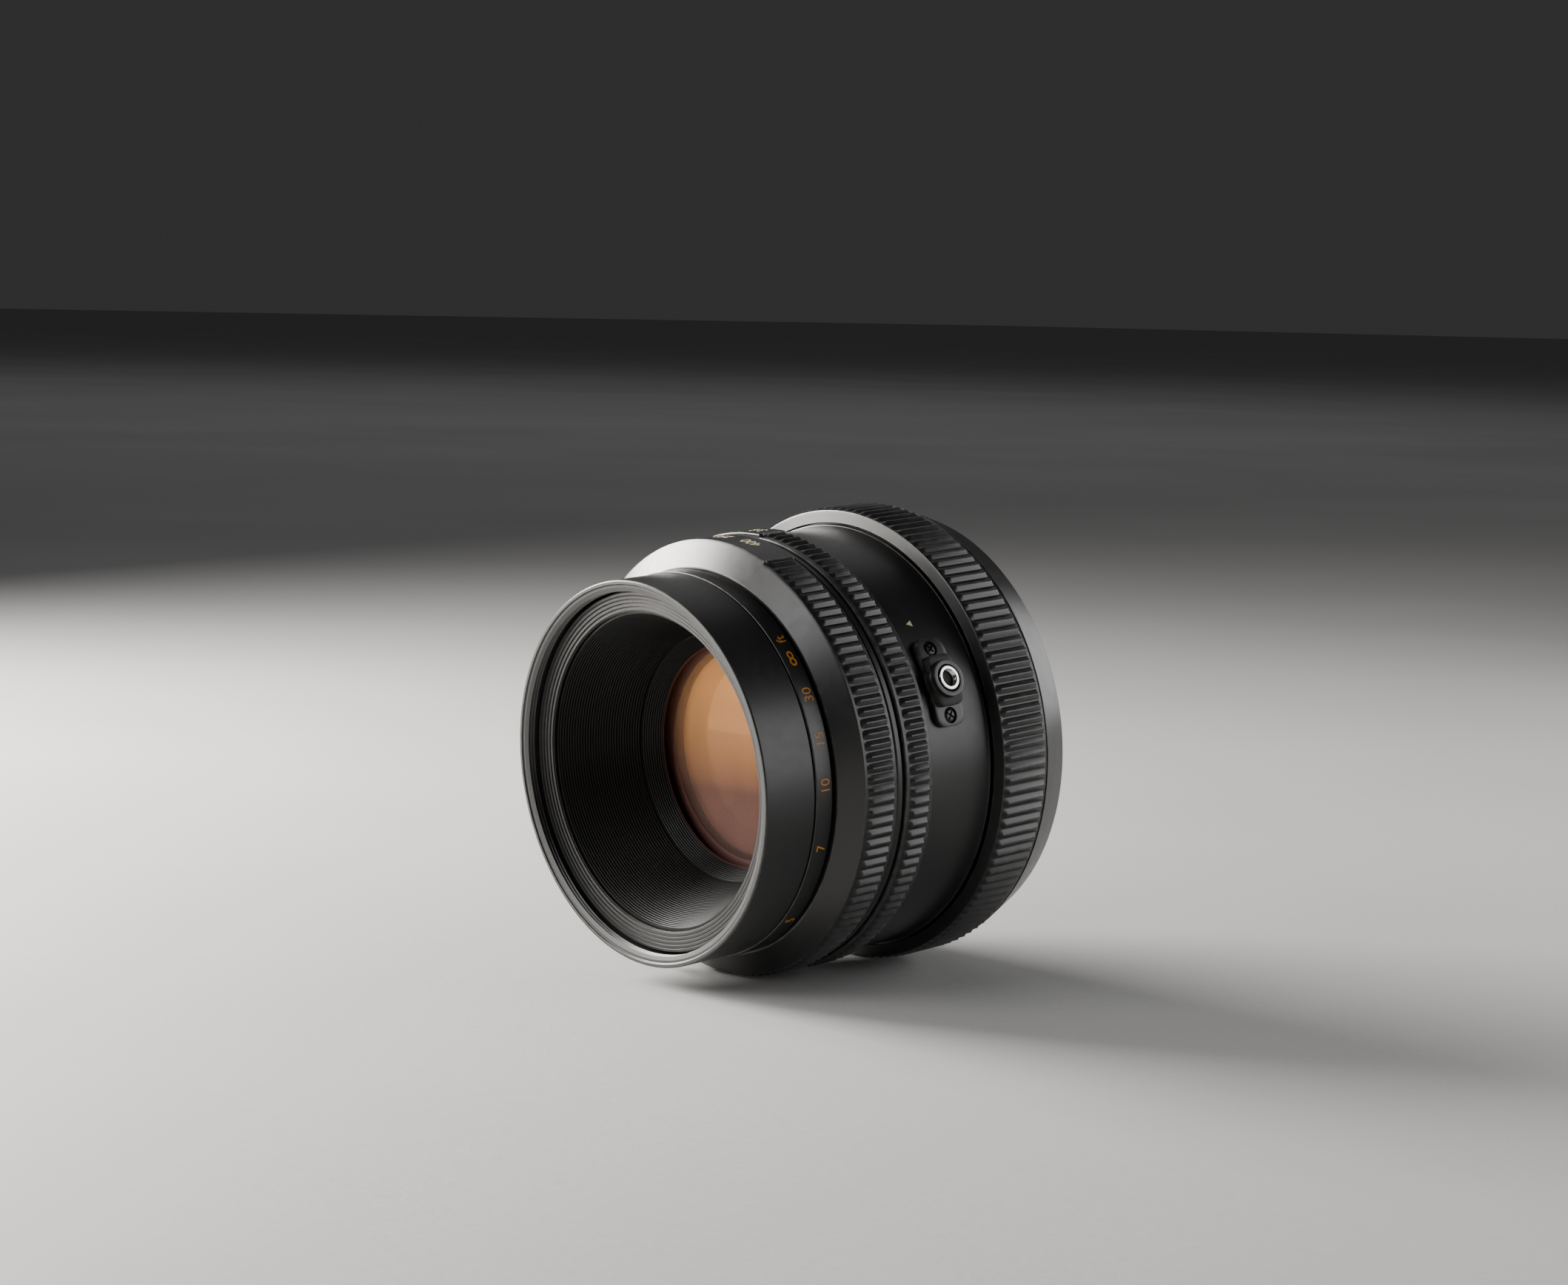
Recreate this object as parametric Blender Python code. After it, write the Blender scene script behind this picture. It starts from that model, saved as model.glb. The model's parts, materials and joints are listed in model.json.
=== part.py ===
"""A short telephoto prime lens with a leaf shutter, for a medium-format breech-lock camera.

The lens lies on its side: the optical axis is level and runs along +Y from the front rim to the
camera mount. Sections are written in millimetres as (distance behind the front rim, radius), and
angles round the axis in degrees from the top towards +X.
"""
from math import cos, pi, radians, sin

import bmesh
import bpy
from mathutils import Vector

# Driving dimensions, in millimetres.
MM = 0.001
LENGTH = 79.1               # front rim to the rear edge of the bayonet ring
RIM_RADIUS = 41.0           # outside of the front barrel
THREAD_RADIUS = 38.5        # 77 mm filter thread
SPEED_LAND = 46.6           # shutter speed ring, plain lands beside its ridges
APERTURE_LAND = 46.9        # aperture ring
BARREL_RADIUS = 45.8        # rear barrel
BAYONET_LAND = 49.5         # bayonet ring
RIDGE_HEIGHT = 0.6          # grip ridges above the lands
VALLEY_HEIGHT = 0.06        # valleys between them above the lands
HOUSING_RADIUS = 44.0       # shutter housing, inside the two setting rings
RING_BORE = 44.3            # bore of the setting rings and the index ring
MOUNT_TUBE_RADIUS = 44.0    # rear tube that the bayonet ring turns on
FLANGE_REAR = 74.0          # rear face of the flange
SLOT_RADIUS = 36.0          # circle of the cocking pins and their slots
SCREW_CIRCLE = 41.2         # circle of the flange screws
PIVOT_RADIUS = 29.3         # circle of the blade pivots
PIN_RADIUS = 0.8            # blade pivot pins
PIVOT_HOLE = 1.0            # holes that turn on them
BLADE_COUNT = 5
BLADE_THICKNESS = 0.25
BLADE_SPACING = 0.6         # distance between the levels of neighbouring blades
SHUTTER_LEVEL = 42.4        # front face of the first shutter blade
IRIS_LEVEL = 46.4           # front face of the first iris blade
SOCKET_CENTRE = 47.1        # release socket: distance behind the rim
SOCKET_ANGLE = 67.9         # and angle round the barrel
RELEASE_SCREW_ANGLES = (59.1, 76.9)
SYNC_ANGLE = 270.0          # flash socket, level on the far side
SYNC_CENTRE = 47.0
LEVER_ANGLE = 200.0         # preview lever, low on the far side
LEVER_WIDTH = 2.8

AXIS_HEIGHT = BAYONET_LAND + RIDGE_HEIGHT
OUTER_STEPS = 40            # facets round the outer rings
INNER_STEPS = 32            # facets round the pieces inside

BLACK_METAL = ((0.012, 0.012, 0.013), 0.35, 0.6)
BLACK_PAINT = ((0.010, 0.010, 0.011), 0.45, 0.1)
FLAT_BLACK = ((0.006, 0.006, 0.006), 0.75, 0.0)
CHROME = ((0.75, 0.75, 0.74), 0.18, 1.0)
STEEL = ((0.42, 0.42, 0.43), 0.35, 1.0)
BRASS = ((0.62, 0.45, 0.20), 0.35, 1.0)
DARK_STEEL = ((0.035, 0.035, 0.038), 0.4, 0.9)
COATED_GLASS = ((0.55, 0.40, 0.28), 0.03, 0.0)
CLEAR_GLASS = ((0.85, 0.88, 0.88), 0.03, 0.0)


def clear_scene():
    for obj in list(bpy.data.objects):
        bpy.data.objects.remove(obj, do_unlink=True)


def optical_axis():
    """The empty that every piece hangs from, on the axis halfway along the lens."""
    axis = bpy.data.objects.new("optical_axis", None)
    axis.location = (0.0, 0.0, AXIS_HEIGHT * MM)
    bpy.context.collection.objects.link(axis)
    return axis


def at(distance, radius, angle):
    """A point of the lens, in metres, measured from the axis empty."""
    turn = radians(angle)
    return Vector((radius * sin(turn), distance - LENGTH / 2, radius * cos(turn))) * MM


def finish(name, look):
    colour, roughness, metallic = look
    material = bpy.data.materials.new(name + "_finish")
    material.use_nodes = True
    shader = material.node_tree.nodes["Principled BSDF"]
    shader.inputs["Base Color"].default_value = (*colour, 1.0)
    shader.inputs["Roughness"].default_value = roughness
    shader.inputs["Metallic"].default_value = metallic
    return material


def make(name, points, faces, look, origin=(0.0, 0.0, 0.0)):
    """An object from points in axis coordinates, with its own origin at the given point."""
    bm = bmesh.new()
    origin = Vector(origin)
    verts = [bm.verts.new(Vector(point) - origin) for point in points]
    for face in faces:
        bm.faces.new([verts[index] for index in face])
    bmesh.ops.recalc_face_normals(bm, faces=bm.faces)
    mesh = bpy.data.meshes.new(name)
    bm.to_mesh(mesh)
    bm.free()
    mesh.shade_smooth()
    mesh.set_sharp_from_angle(angle=radians(35.0))
    mesh.materials.append(finish(name, look))
    return place(name, mesh, origin)


def place(name, mesh, origin):
    obj = bpy.data.objects.new(name, mesh)
    obj.location = origin
    obj.parent = AXIS
    bpy.context.collection.objects.link(obj)
    return obj


def turned(name, section, look, steps=INNER_STEPS):
    """A ring turned from a closed section, or a solid if the section starts and ends on the axis."""
    points, faces = [], []
    loops = []
    for distance, radius in section:
        if radius == 0.0:
            points.append(at(distance, 0.0, 0.0))
            loops.append([len(points) - 1] * steps)
        else:
            loops.append([len(points) + k for k in range(steps)])
            points += [at(distance, radius, 360.0 * k / steps) for k in range(steps)]
    pairs = list(zip(loops, loops[1:] + loops[:1]))
    if section[0][1] == 0.0:
        pairs.pop()
    for near, far in pairs:
        for k in range(steps):
            after = (k + 1) % steps
            corners = dict.fromkeys((near[k], near[after], far[after], far[k]))
            faces.append(list(corners))
    return make(name, points, faces, look)


def stitch(near, far):
    """Faces between two closed loops of (angle, point index) pairs, which may differ in count."""
    faces = []
    i = j = 0
    while i < len(near) or j < len(far):
        a, b = near[i % len(near)][1], far[j % len(far)][1]
        next_near = near[(i + 1) % len(near)][0] + 360.0 * (i + 1 >= len(near))
        next_far = far[(j + 1) % len(far)][0] + 360.0 * (j + 1 >= len(far))
        if j == len(far) or (i < len(near) and next_near <= next_far):
            faces.append((a, near[(i + 1) % len(near)][1], b))
            i += 1
        else:
            faces.append((a, far[(j + 1) % len(far)][1], b))
            j += 1
    return faces


def grip_outline(land, ridges, first, last):
    """(angle, radius) round a grip: ridges from first to last, a plain raised band for the rest."""
    valley, crest = land + VALLEY_HEIGHT, land + RIDGE_HEIGHT
    pitch = (last - first) / ridges
    outline = []
    for k in range(ridges):
        outline.append((first + pitch * k, valley))
        outline.append((first + pitch * (k + 0.5), crest))
    band = 360.0 - (last - first)
    if band > 0.0:
        edge = 0.8
        spans = 16
        outline.append((last, valley))
        for k in range(spans + 1):
            outline.append((last + edge + (band - 2 * edge) * k / spans, crest))
    return sorted((angle % 360.0, radius) for angle, radius in outline)


def gripped(name, front, grip, back, outline, look):
    """A ring whose section runs from front, over a ridged grip between two distances, to back."""
    points, loops = [], []

    def add_loop(distance, shape):
        loops.append([(angle, len(points) + k) for k, (angle, _) in enumerate(shape)])
        points.extend(at(distance, radius, angle) for angle, radius in shape)

    circle = [360.0 * k / OUTER_STEPS for k in range(OUTER_STEPS)]
    for distance, radius in front:
        add_loop(distance, [(angle, radius) for angle in circle])
    for distance in grip:
        add_loop(distance, outline)
    for distance, radius in back:
        add_loop(distance, [(angle, radius) for angle in circle])
    faces = []
    for near, far in zip(loops, loops[1:] + loops[:1]):
        if [angle for angle, _ in near] == [angle for angle, _ in far]:
            for k in range(len(near)):
                after = (k + 1) % len(near)
                faces.append((near[k][1], near[after][1], far[after][1], far[k][1]))
        else:
            faces += stitch(near, far)
    return make(name, points, faces, look)


def arc_block(name, distances, radii, angles, look, steps=6):
    """A block of a ring, between two distances, two radii and two angles."""
    section = [(distances[0], radii[0]), (distances[0], radii[1]),
               (distances[1], radii[1]), (distances[1], radii[0])]
    points, faces = [], []
    for k in range(steps + 1):
        angle = angles[0] + (angles[1] - angles[0]) * k / steps
        points += [at(distance, radius, angle) for distance, radius in section]
    for k in range(steps):
        for corner in range(4):
            after = (corner + 1) % 4
            near, far = 4 * k, 4 * (k + 1)
            faces.append((near + corner, near + after, far + after, far + corner))
    faces += [(0, 1, 2, 3), tuple(range(4 * steps, 4 * steps + 4))]
    return make(name, points, faces, look)


def circle_outline(radius, steps, centre_radius=0.0, centre_angle=0.0):
    """(x, z) points round a circle, whose centre may lie off the axis."""
    centre = at(0.0, centre_radius, centre_angle) / MM
    return [(centre.x + radius * sin(2 * pi * k / steps), centre.z + radius * cos(2 * pi * k / steps))
            for k in range(steps)]


def slot_outline(radius, half_width, first, last):
    """(x, z) points round a slot that follows a circle and has round ends."""
    outline = []
    steps = 10
    for edge, start, end in ((half_width, first, last), (-half_width, last, first)):
        for k in range(steps + 1):
            point = at(0.0, radius + edge, start + (end - start) * k / steps) / MM
            outline.append((point.x, point.z))
        tip = at(0.0, radius, end) / MM
        for k in range(1, 4):
            turn = radians(end + 45.0 * k)
            outline.append((tip.x + edge * sin(turn), tip.z + edge * cos(turn)))
    return outline


def plate(name, outline, holes, front, back, look, origin=(0.0, 0.0, 0.0)):
    """A flat plate across the axis: a filled outline with holes, extruded from front to back."""
    bm = bmesh.new()
    origin = Vector(origin)
    for loop in (outline, *holes):
        verts = [bm.verts.new(Vector((x * MM, (front - LENGTH / 2) * MM, z * MM)) - origin) for x, z in loop]
        for k, vert in enumerate(verts):
            bm.edges.new((vert, verts[(k + 1) % len(verts)]))
    bmesh.ops.triangle_fill(bm, edges=bm.edges, use_beauty=True)
    moved = bmesh.ops.extrude_face_region(bm, geom=list(bm.faces))["geom"]
    lifted = [item for item in moved if isinstance(item, bmesh.types.BMVert)]
    bmesh.ops.translate(bm, verts=lifted, vec=(0.0, (back - front) * MM, 0.0))
    bmesh.ops.recalc_face_normals(bm, faces=bm.faces)
    mesh = bpy.data.meshes.new(name)
    bm.to_mesh(mesh)
    bm.free()
    mesh.materials.append(finish(name, look))
    return place(name, mesh, origin)


def point_outwards(obj, distance, angle):
    """Turns a piece made along the axis so that its distances become radii at the given place."""
    radial = at(LENGTH / 2, 1.0, angle).normalized()
    obj.rotation_mode = "QUATERNION"
    obj.rotation_quaternion = Vector((0.0, 1.0, 0.0)).rotation_difference(radial)
    shift = obj.rotation_quaternion @ Vector((0.0, LENGTH / 2 * MM, 0.0))
    obj.location = at(distance, 0.0, 0.0) + shift
    return obj


def hide(tool):
    tool.hide_render = True
    tool.display_type = "WIRE"


def combine(obj, tool, operation):
    """Adds a tool to an object or cuts it away, and keeps the tool as a hidden guide."""
    modifier = obj.modifiers.new(operation.lower(), "BOOLEAN")
    modifier.operation = operation
    modifier.object = tool
    modifier.solver = "EXACT"
    hide(tool)


def rod_section(front, back, radius):
    return [(front, 0.0), (front, radius), (back, radius), (back, 0.0)]


def off_axis_rod(name, front, back, radius, centre_radius, angle, look, steps=8):
    """A straight round rod, parallel to the axis."""
    rod = turned(name, rod_section(front, back, radius), look, steps)
    rod.location = at(LENGTH / 2, centre_radius, angle)
    return rod


def front_group():
    front_barrel = [
        (0.0, 39.95), (0.0, RIM_RADIUS), (12.8, RIM_RADIUS), (12.8, 39.0), (19.9, 39.0),
        (19.9, 36.0), (4.9, 36.0), (4.9, THREAD_RADIUS), (0.8, THREAD_RADIUS), (0.3, 39.5),
    ]
    turned("front_barrel", front_barrel, BLACK_METAL, OUTER_STEPS)
    turned("stepped_ring", [(3.1, 38.1), (4.1, 34.0), (4.6, 34.0), (4.6, 38.1)], FLAT_BLACK)
    baffle = [(4.9, 33.4), (4.9, 35.6), (6.2, 35.6), (22.2, 28.4), (22.2, 26.9)]
    turned("conical_baffle", baffle, FLAT_BLACK)
    turned("distance_ring", [(13.1, 39.3), (13.1, 41.3), (17.5, 41.3), (17.5, 39.3)], BLACK_METAL, OUTER_STEPS)


def preview_lever():
    """A hooked tab that turns about the optical axis, in the gap ahead of the speed ring."""
    side = [(14.3, 41.7), (14.3, 46.0), (18.2, 46.0), (18.2, 39.4), (17.8, 39.4), (17.8, 41.7)]
    upright = at(LENGTH / 2, 1.0, LEVER_ANGLE).normalized()
    across = Vector((upright.z, 0.0, -upright.x))
    points = []
    for half in (-0.5, 0.5):
        for distance, radius in side:
            points.append(at(distance, 0.0, 0.0) + (upright * radius + across * half * LEVER_WIDTH) * MM)
    count = len(side)
    faces = [tuple(range(count)), tuple(range(count, 2 * count))]
    for k in range(count):
        after = (k + 1) % count
        faces.append((k, after, count + after, count + k))
    make("preview_lever", points, faces, BLACK_METAL)


def setting_rings():
    speed_outline = grip_outline(SPEED_LAND, 42, 22.0, 262.0)
    gripped("speed_ring",
            [(19.6, 39.4), (18.5, 39.4), (18.5, 41.6), (21.8, SPEED_LAND), (22.4, SPEED_LAND)],
            (22.4, 29.8),
            [(29.8, SPEED_LAND), (30.5, SPEED_LAND), (30.5, RING_BORE), (21.0, RING_BORE), (19.6, 41.8)],
            speed_outline, BLACK_METAL)
    index = [(30.8, RING_BORE), (30.8, 46.4), (32.6, 46.4), (32.6, RING_BORE)]
    turned("index_ring", index, BLACK_PAINT, OUTER_STEPS)
    aperture_outline = grip_outline(APERTURE_LAND, 42, 4.4, 244.4)
    gripped("aperture_ring",
            [(32.9, RING_BORE), (32.9, 46.5), (33.3, APERTURE_LAND), (33.9, APERTURE_LAND)],
            (33.9, 39.4),
            [(39.4, APERTURE_LAND), (40.4, APERTURE_LAND), (40.4, RING_BORE)],
            aperture_outline, BLACK_METAL)
    housing = [
        (20.2, 31.4), (20.2, 41.3), (21.3, 42.5), (21.3, HOUSING_RADIUS), (40.1, HOUSING_RADIUS),
        (40.1, 42.0), (22.5, 42.0), (22.5, 33.0), (38.5, 33.0), (38.5, 31.4),
    ]
    turned("shutter_housing", housing, FLAT_BLACK, OUTER_STEPS)


def bulged(front, back, radius, sag, steps):
    """Points over a spherical face from its edge to the axis: front is the edge, back the vertex."""
    sphere = (radius * radius + sag * sag) / (2 * sag)
    turn = 1.0 if back > front else -1.0
    points = []
    for k in range(steps):
        r = radius * (1.0 - k / steps)
        rise = (sphere * sphere - r * r) ** 0.5 - (sphere - sag)
        points.append((front + turn * rise, r))
    points.append((back, 0.0))
    return points


def optics():
    cell = [(22.5, 27.9), (22.5, 31.0), (37.0, 31.0), (37.0, 27.9),
            (30.9, 27.9), (30.9, 22.8), (29.7, 23.3), (29.7, 27.9)]
    turned("front_cell", cell, FLAT_BLACK)
    turned("front_retaining_ring", [(22.5, 26.6), (22.5, 27.6), (26.5, 27.6), (26.5, 24.2)], FLAT_BLACK)
    front_face = bulged(26.8, 22.9, 24.1, 3.9, 4)[::-1]
    back_face = bulged(29.4, 32.4, 23.3, 3.0, 3)
    turned("front_glass", [*front_face, (26.8, 27.5), (29.4, 27.5), *back_face], COATED_GLASS)
    hollow = bulged(31.2, 34.2, 22.5, 3.0, 3)[::-1]
    turned("second_glass", [*hollow, (31.2, 27.5), (36.8, 27.5), (36.8, 0.0)], CLEAR_GLASS)
    rear_cell = [(52.0, 27.2), (52.0, 30.3), (73.5, 30.3), (73.5, 27.2),
                 (61.0, 27.2), (61.0, 25.0), (58.6, 25.0), (58.6, 27.2)]
    turned("rear_cell", rear_cell, FLAT_BLACK)
    turned("rear_inner_ring", [(52.0, 25.5), (52.0, 26.9), (54.2, 26.9), (54.2, 24.5)], FLAT_BLACK)
    inner_face = bulged(54.5, 53.3, 24.2, 1.2, 3)[::-1]
    turned("rear_glass_inner", [*inner_face, (54.5, 26.9), (58.3, 26.9), (58.3, 0.0)], CLEAR_GLASS)
    outer_face = bulged(67.0, 69.5, 24.2, 2.5, 3)
    turned("rear_glass_outer", [(61.3, 0.0), (61.3, 26.9), (67.0, 26.9), *outer_face], COATED_GLASS)
    turned("rear_retaining_ring", [(67.3, 24.5), (67.3, 26.9), (73.5, 26.9), (73.5, 25.6)], FLAT_BLACK)


def blade_outline():
    """(x, z) round a blade that lies open beside the aperture, pivot at the top, tip clockwise."""
    inner, outer, first, last, ear = 17.3, 27.7, -5.0, 115.0, 1.9
    steps = 10
    arc = [last + (first - last) * k / steps for k in range(steps + 1)]
    outline = [(inner * sin(radians(a)), inner * cos(radians(a))) for a in arc]
    outline.append((outer * sin(radians(first)), outer * cos(radians(first))))
    outline += [(ear * sin(radians(a)), PIVOT_RADIUS + ear * cos(radians(a))) for a in (-75, -35, 0, 35, 75)]
    outline += [(outer * sin(radians(a)), outer * cos(radians(a))) for a in arc[::-1][1:]]
    return outline


def turn_outline(outline, angle):
    c, s = cos(radians(angle)), sin(radians(angle))
    return [(x * c + z * s, z * c - x * s) for x, z in outline]


def blades(group, level):
    """Five blades, each on its own level and its own pivot, open at rest."""
    for k in range(BLADE_COUNT):
        angle = 360.0 * k / BLADE_COUNT
        front = level + BLADE_SPACING * k
        outline = turn_outline(blade_outline(), angle)
        hole = circle_outline(PIVOT_HOLE, 8, PIVOT_RADIUS, angle)
        pivot = at(front, PIVOT_RADIUS, angle)
        plate(f"{group}_blade_{k + 1}", outline, [hole], front, front + BLADE_THICKNESS, DARK_STEEL, pivot)


def pinned_plate(name, front, back, outer, pin_from, pin_to):
    """A ring plate that carries the five pivot pins of a set of blades."""
    base = turned(name, [(front, 17.5), (front, outer), (back, outer), (back, 17.5)], DARK_STEEL)
    for k in range(BLADE_COUNT):
        angle = 360.0 * k / BLADE_COUNT
        pin = off_axis_rod(f"{name}_pin_{k + 1}", pin_from, pin_to, PIN_RADIUS, PIVOT_RADIUS, angle, STEEL)
        combine(base, pin, "UNION")


def shutter_and_iris():
    pinned_plate("shutter_plate", 40.8, 42.0, 41.8, 41.4, 45.4)
    blades("shutter", SHUTTER_LEVEL)
    turned("shutter_drive_ring", [(42.4, 32.2), (42.4, 35.5), (44.0, 35.5), (44.0, 32.2)], BRASS)
    pinned_plate("iris_plate", 49.9, 51.4, 41.2, 46.1, 50.6)
    blades("iris", IRIS_LEVEL)
    turned("iris_drive_ring", [(47.8, 32.2), (47.8, 35.5), (49.5, 35.5), (49.5, 32.2)], BRASS)


def rear_barrel():
    cove_start, cove_end, flare_radius, steps = 53.5, 57.5, 46.4, 4
    cove = []
    for k in range(steps + 1):
        turn = radians(90.0 * k / steps)
        cove.append((cove_start + (cove_end - cove_start) * sin(turn),
                     BARREL_RADIUS + (flare_radius - BARREL_RADIUS) * (1.0 - cos(turn))))
    section = [
        (40.7, 42.2), (40.7, BARREL_RADIUS), *cove, (57.8, flare_radius), (57.8, MOUNT_TUBE_RADIUS),
        (70.2, MOUNT_TUBE_RADIUS), (70.2, 39.6), (55.0, 39.6), (53.0, 41.5), (44.0, 41.5), (44.0, 42.2),
    ]
    barrel = turned("rear_barrel", section, BLACK_METAL, OUTER_STEPS)
    for k in range(4):
        hole = off_axis_rod(f"flange_screw_hole_{k + 1}", 66.0, 71.0, 1.1, SCREW_CIRCLE, 45.0 + 90.0 * k, STEEL)
        combine(barrel, hole, "DIFFERENCE")
    plunger_hole = turned("plunger_hole", rod_section(39.0, 48.0, 1.6), STEEL, 12)
    combine(barrel, point_outwards(plunger_hole, SOCKET_CENTRE, SOCKET_ANGLE), "DIFFERENCE")
    for k, angle in enumerate(RELEASE_SCREW_ANGLES):
        hole = turned(f"release_screw_hole_{k + 1}", rod_section(43.0, 48.0, 1.1), STEEL, 8)
        combine(barrel, point_outwards(hole, SOCKET_CENTRE, angle), "DIFFERENCE")


def bayonet_ring():
    outline = grip_outline(BAYONET_LAND, 64, -180.0 / 64, 360.0 - 180.0 / 64)
    ring = gripped("bayonet_ring",
                   [(59.5, 44.4), (59.5, 46.8), (58.1, 46.8), (58.1, BAYONET_LAND), (59.0, BAYONET_LAND)],
                   (59.0, 70.6),
                   [(70.6, BAYONET_LAND), (71.8, BAYONET_LAND), (LENGTH, 46.7), (LENGTH, 45.4),
                    (66.0, 45.4), (66.0, 44.4)],
                   outline, BLACK_METAL)
    for k in range(3):
        middle = 120.0 * k
        lug = arc_block(f"lug_{k + 1}", (76.6, 78.6), (41.8, 46.0), (middle - 25.0, middle + 25.0), STEEL)
        combine(ring, lug, "UNION")
    turned("bayonet_retainer", [(66.4, 44.3), (66.4, 45.0), (67.6, 45.0), (67.6, 44.3)], STEEL, OUTER_STEPS)


def rear_mount():
    slots = [slot_outline(SLOT_RADIUS, 2.3, angle - 62.0, angle + 4.0) for angle in (90.0, 270.0)]
    screw_angles = [45.0 + 90.0 * k for k in range(4)]
    through = [circle_outline(1.1, 8, SCREW_CIRCLE, angle) for angle in screw_angles]
    holes = [circle_outline(30.6, INNER_STEPS), *slots, *through]
    flange = plate("rear_flange", circle_outline(43.6, OUTER_STEPS), holes, 70.5, FLANGE_REAR, STEEL)
    for k, angle in enumerate(screw_angles):
        recess = off_axis_rod(f"screw_recess_{k + 1}", 72.4, 75.0, 1.9, SCREW_CIRCLE, angle, STEEL, 12)
        combine(flange, recess, "DIFFERENCE")
        section = [(66.5, 0.0), (66.5, PIN_RADIUS), (72.7, PIN_RADIUS), (72.7, 1.6), (73.8, 1.6), (73.8, 0.0)]
        screw = turned(f"flange_screw_{k + 1}", section, STEEL, 10)
        screw.location = at(LENGTH / 2, SCREW_CIRCLE, angle)
    turned("cocking_ring", [(66.5, 33.0), (66.5, 39.0), (69.5, 39.0), (69.5, 33.0)], BRASS)
    for k, angle in enumerate((90.0, 270.0)):
        off_axis_rod(f"cocking_pin_{k + 1}", 69.8, 78.0, 1.6, SLOT_RADIUS, angle, STEEL, 12)


def release_fittings():
    """The raised bracket on the barrel, with its threaded insert, plunger and screws."""
    housing = arc_block("release_housing", (43.1, 51.1), (46.1, 47.0), (56.6, 80.2), BLACK_METAL)
    block = arc_block("release_block", (44.6, 49.6), (46.5, 48.0), (62.2, 73.6), BLACK_METAL, 3)
    combine(housing, block, "UNION")
    boss = turned("release_boss", rod_section(46.4, 49.3, 3.95), BLACK_METAL, 20)
    combine(housing, point_outwards(boss, SOCKET_CENTRE, SOCKET_ANGLE), "UNION")
    bore = turned("release_bore", [(45.0, 0.0), (45.0, 1.6), (47.2, 1.6), (47.2, 2.9), (50.0, 2.9), (50.0, 0.0)],
                  BLACK_METAL, 16)
    combine(housing, point_outwards(bore, SOCKET_CENTRE, SOCKET_ANGLE), "DIFFERENCE")
    insert = turned("release_socket", [(47.5, 1.7), (47.5, 2.6), (49.5, 2.6), (49.5, 1.7)], CHROME, 16)
    point_outwards(insert, SOCKET_CENTRE, SOCKET_ANGLE)
    plunger = turned("release_plunger", rod_section(44.5, 47.9, 1.2), STEEL, 10)
    point_outwards(plunger, SOCKET_CENTRE, SOCKET_ANGLE)
    for k, angle in enumerate(RELEASE_SCREW_ANGLES):
        clearance = turned(f"release_clearance_{k + 1}", rod_section(45.0, 48.0, 1.9), BLACK_METAL, 12)
        combine(housing, point_outwards(clearance, SOCKET_CENTRE, angle), "DIFFERENCE")
        section = [(43.5, 0.0), (43.5, PIN_RADIUS), (46.2, PIN_RADIUS), (46.2, 1.6), (47.1, 1.6), (47.1, 0.0)]
        screw = turned(f"release_screw_{k + 1}", section, DARK_STEEL, 10)
        point_outwards(screw, SOCKET_CENTRE, angle)


def sync_fittings():
    cup = [(46.1, 0.0), (46.1, 3.2), (49.0, 3.2), (49.0, 2.0), (47.1, 2.0), (47.1, 0.0)]
    point_outwards(turned("sync_socket", cup, CHROME, 16), SYNC_CENTRE, SYNC_ANGLE)
    contact = turned("sync_pin", rod_section(47.4, 48.8, 0.6), BRASS, 8)
    point_outwards(contact, SYNC_CENTRE, SYNC_ANGLE)


clear_scene()
AXIS = optical_axis()
front_group()
preview_lever()
setting_rings()
optics()
shutter_and_iris()
rear_barrel()
bayonet_ring()
rear_mount()
release_fittings()
sync_fittings()
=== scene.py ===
"""Looks for the prime camera lens: fine meshes, procedural materials, floor, lights and camera.

Sections are written in millimetres as (distance behind the front rim, radius), and angles round the
optical axis in degrees from the top towards +X. The places of the rim and the axis come from the frame.
"""

import json
from math import cos, pi, radians, sin

import bmesh
import bpy
from mathutils import Matrix, Vector

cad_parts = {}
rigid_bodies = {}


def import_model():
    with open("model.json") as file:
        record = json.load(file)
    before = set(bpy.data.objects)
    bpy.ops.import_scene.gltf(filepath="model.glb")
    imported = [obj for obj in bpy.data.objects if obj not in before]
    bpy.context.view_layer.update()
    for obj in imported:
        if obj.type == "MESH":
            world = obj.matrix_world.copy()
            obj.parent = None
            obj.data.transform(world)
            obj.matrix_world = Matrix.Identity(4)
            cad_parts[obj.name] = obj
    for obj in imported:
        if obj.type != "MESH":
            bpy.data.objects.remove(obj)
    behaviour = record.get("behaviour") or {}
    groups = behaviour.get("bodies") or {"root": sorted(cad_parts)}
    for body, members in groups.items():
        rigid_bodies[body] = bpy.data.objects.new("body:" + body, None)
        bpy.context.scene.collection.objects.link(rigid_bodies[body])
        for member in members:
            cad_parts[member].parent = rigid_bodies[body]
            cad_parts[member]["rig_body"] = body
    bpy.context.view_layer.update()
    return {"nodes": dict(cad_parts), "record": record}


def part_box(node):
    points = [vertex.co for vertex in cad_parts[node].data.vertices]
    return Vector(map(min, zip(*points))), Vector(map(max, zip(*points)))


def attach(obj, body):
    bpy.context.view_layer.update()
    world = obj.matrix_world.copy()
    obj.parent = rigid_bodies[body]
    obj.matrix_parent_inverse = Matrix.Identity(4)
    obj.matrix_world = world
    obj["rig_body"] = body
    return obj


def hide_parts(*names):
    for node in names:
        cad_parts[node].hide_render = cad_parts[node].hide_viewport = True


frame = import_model()

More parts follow.
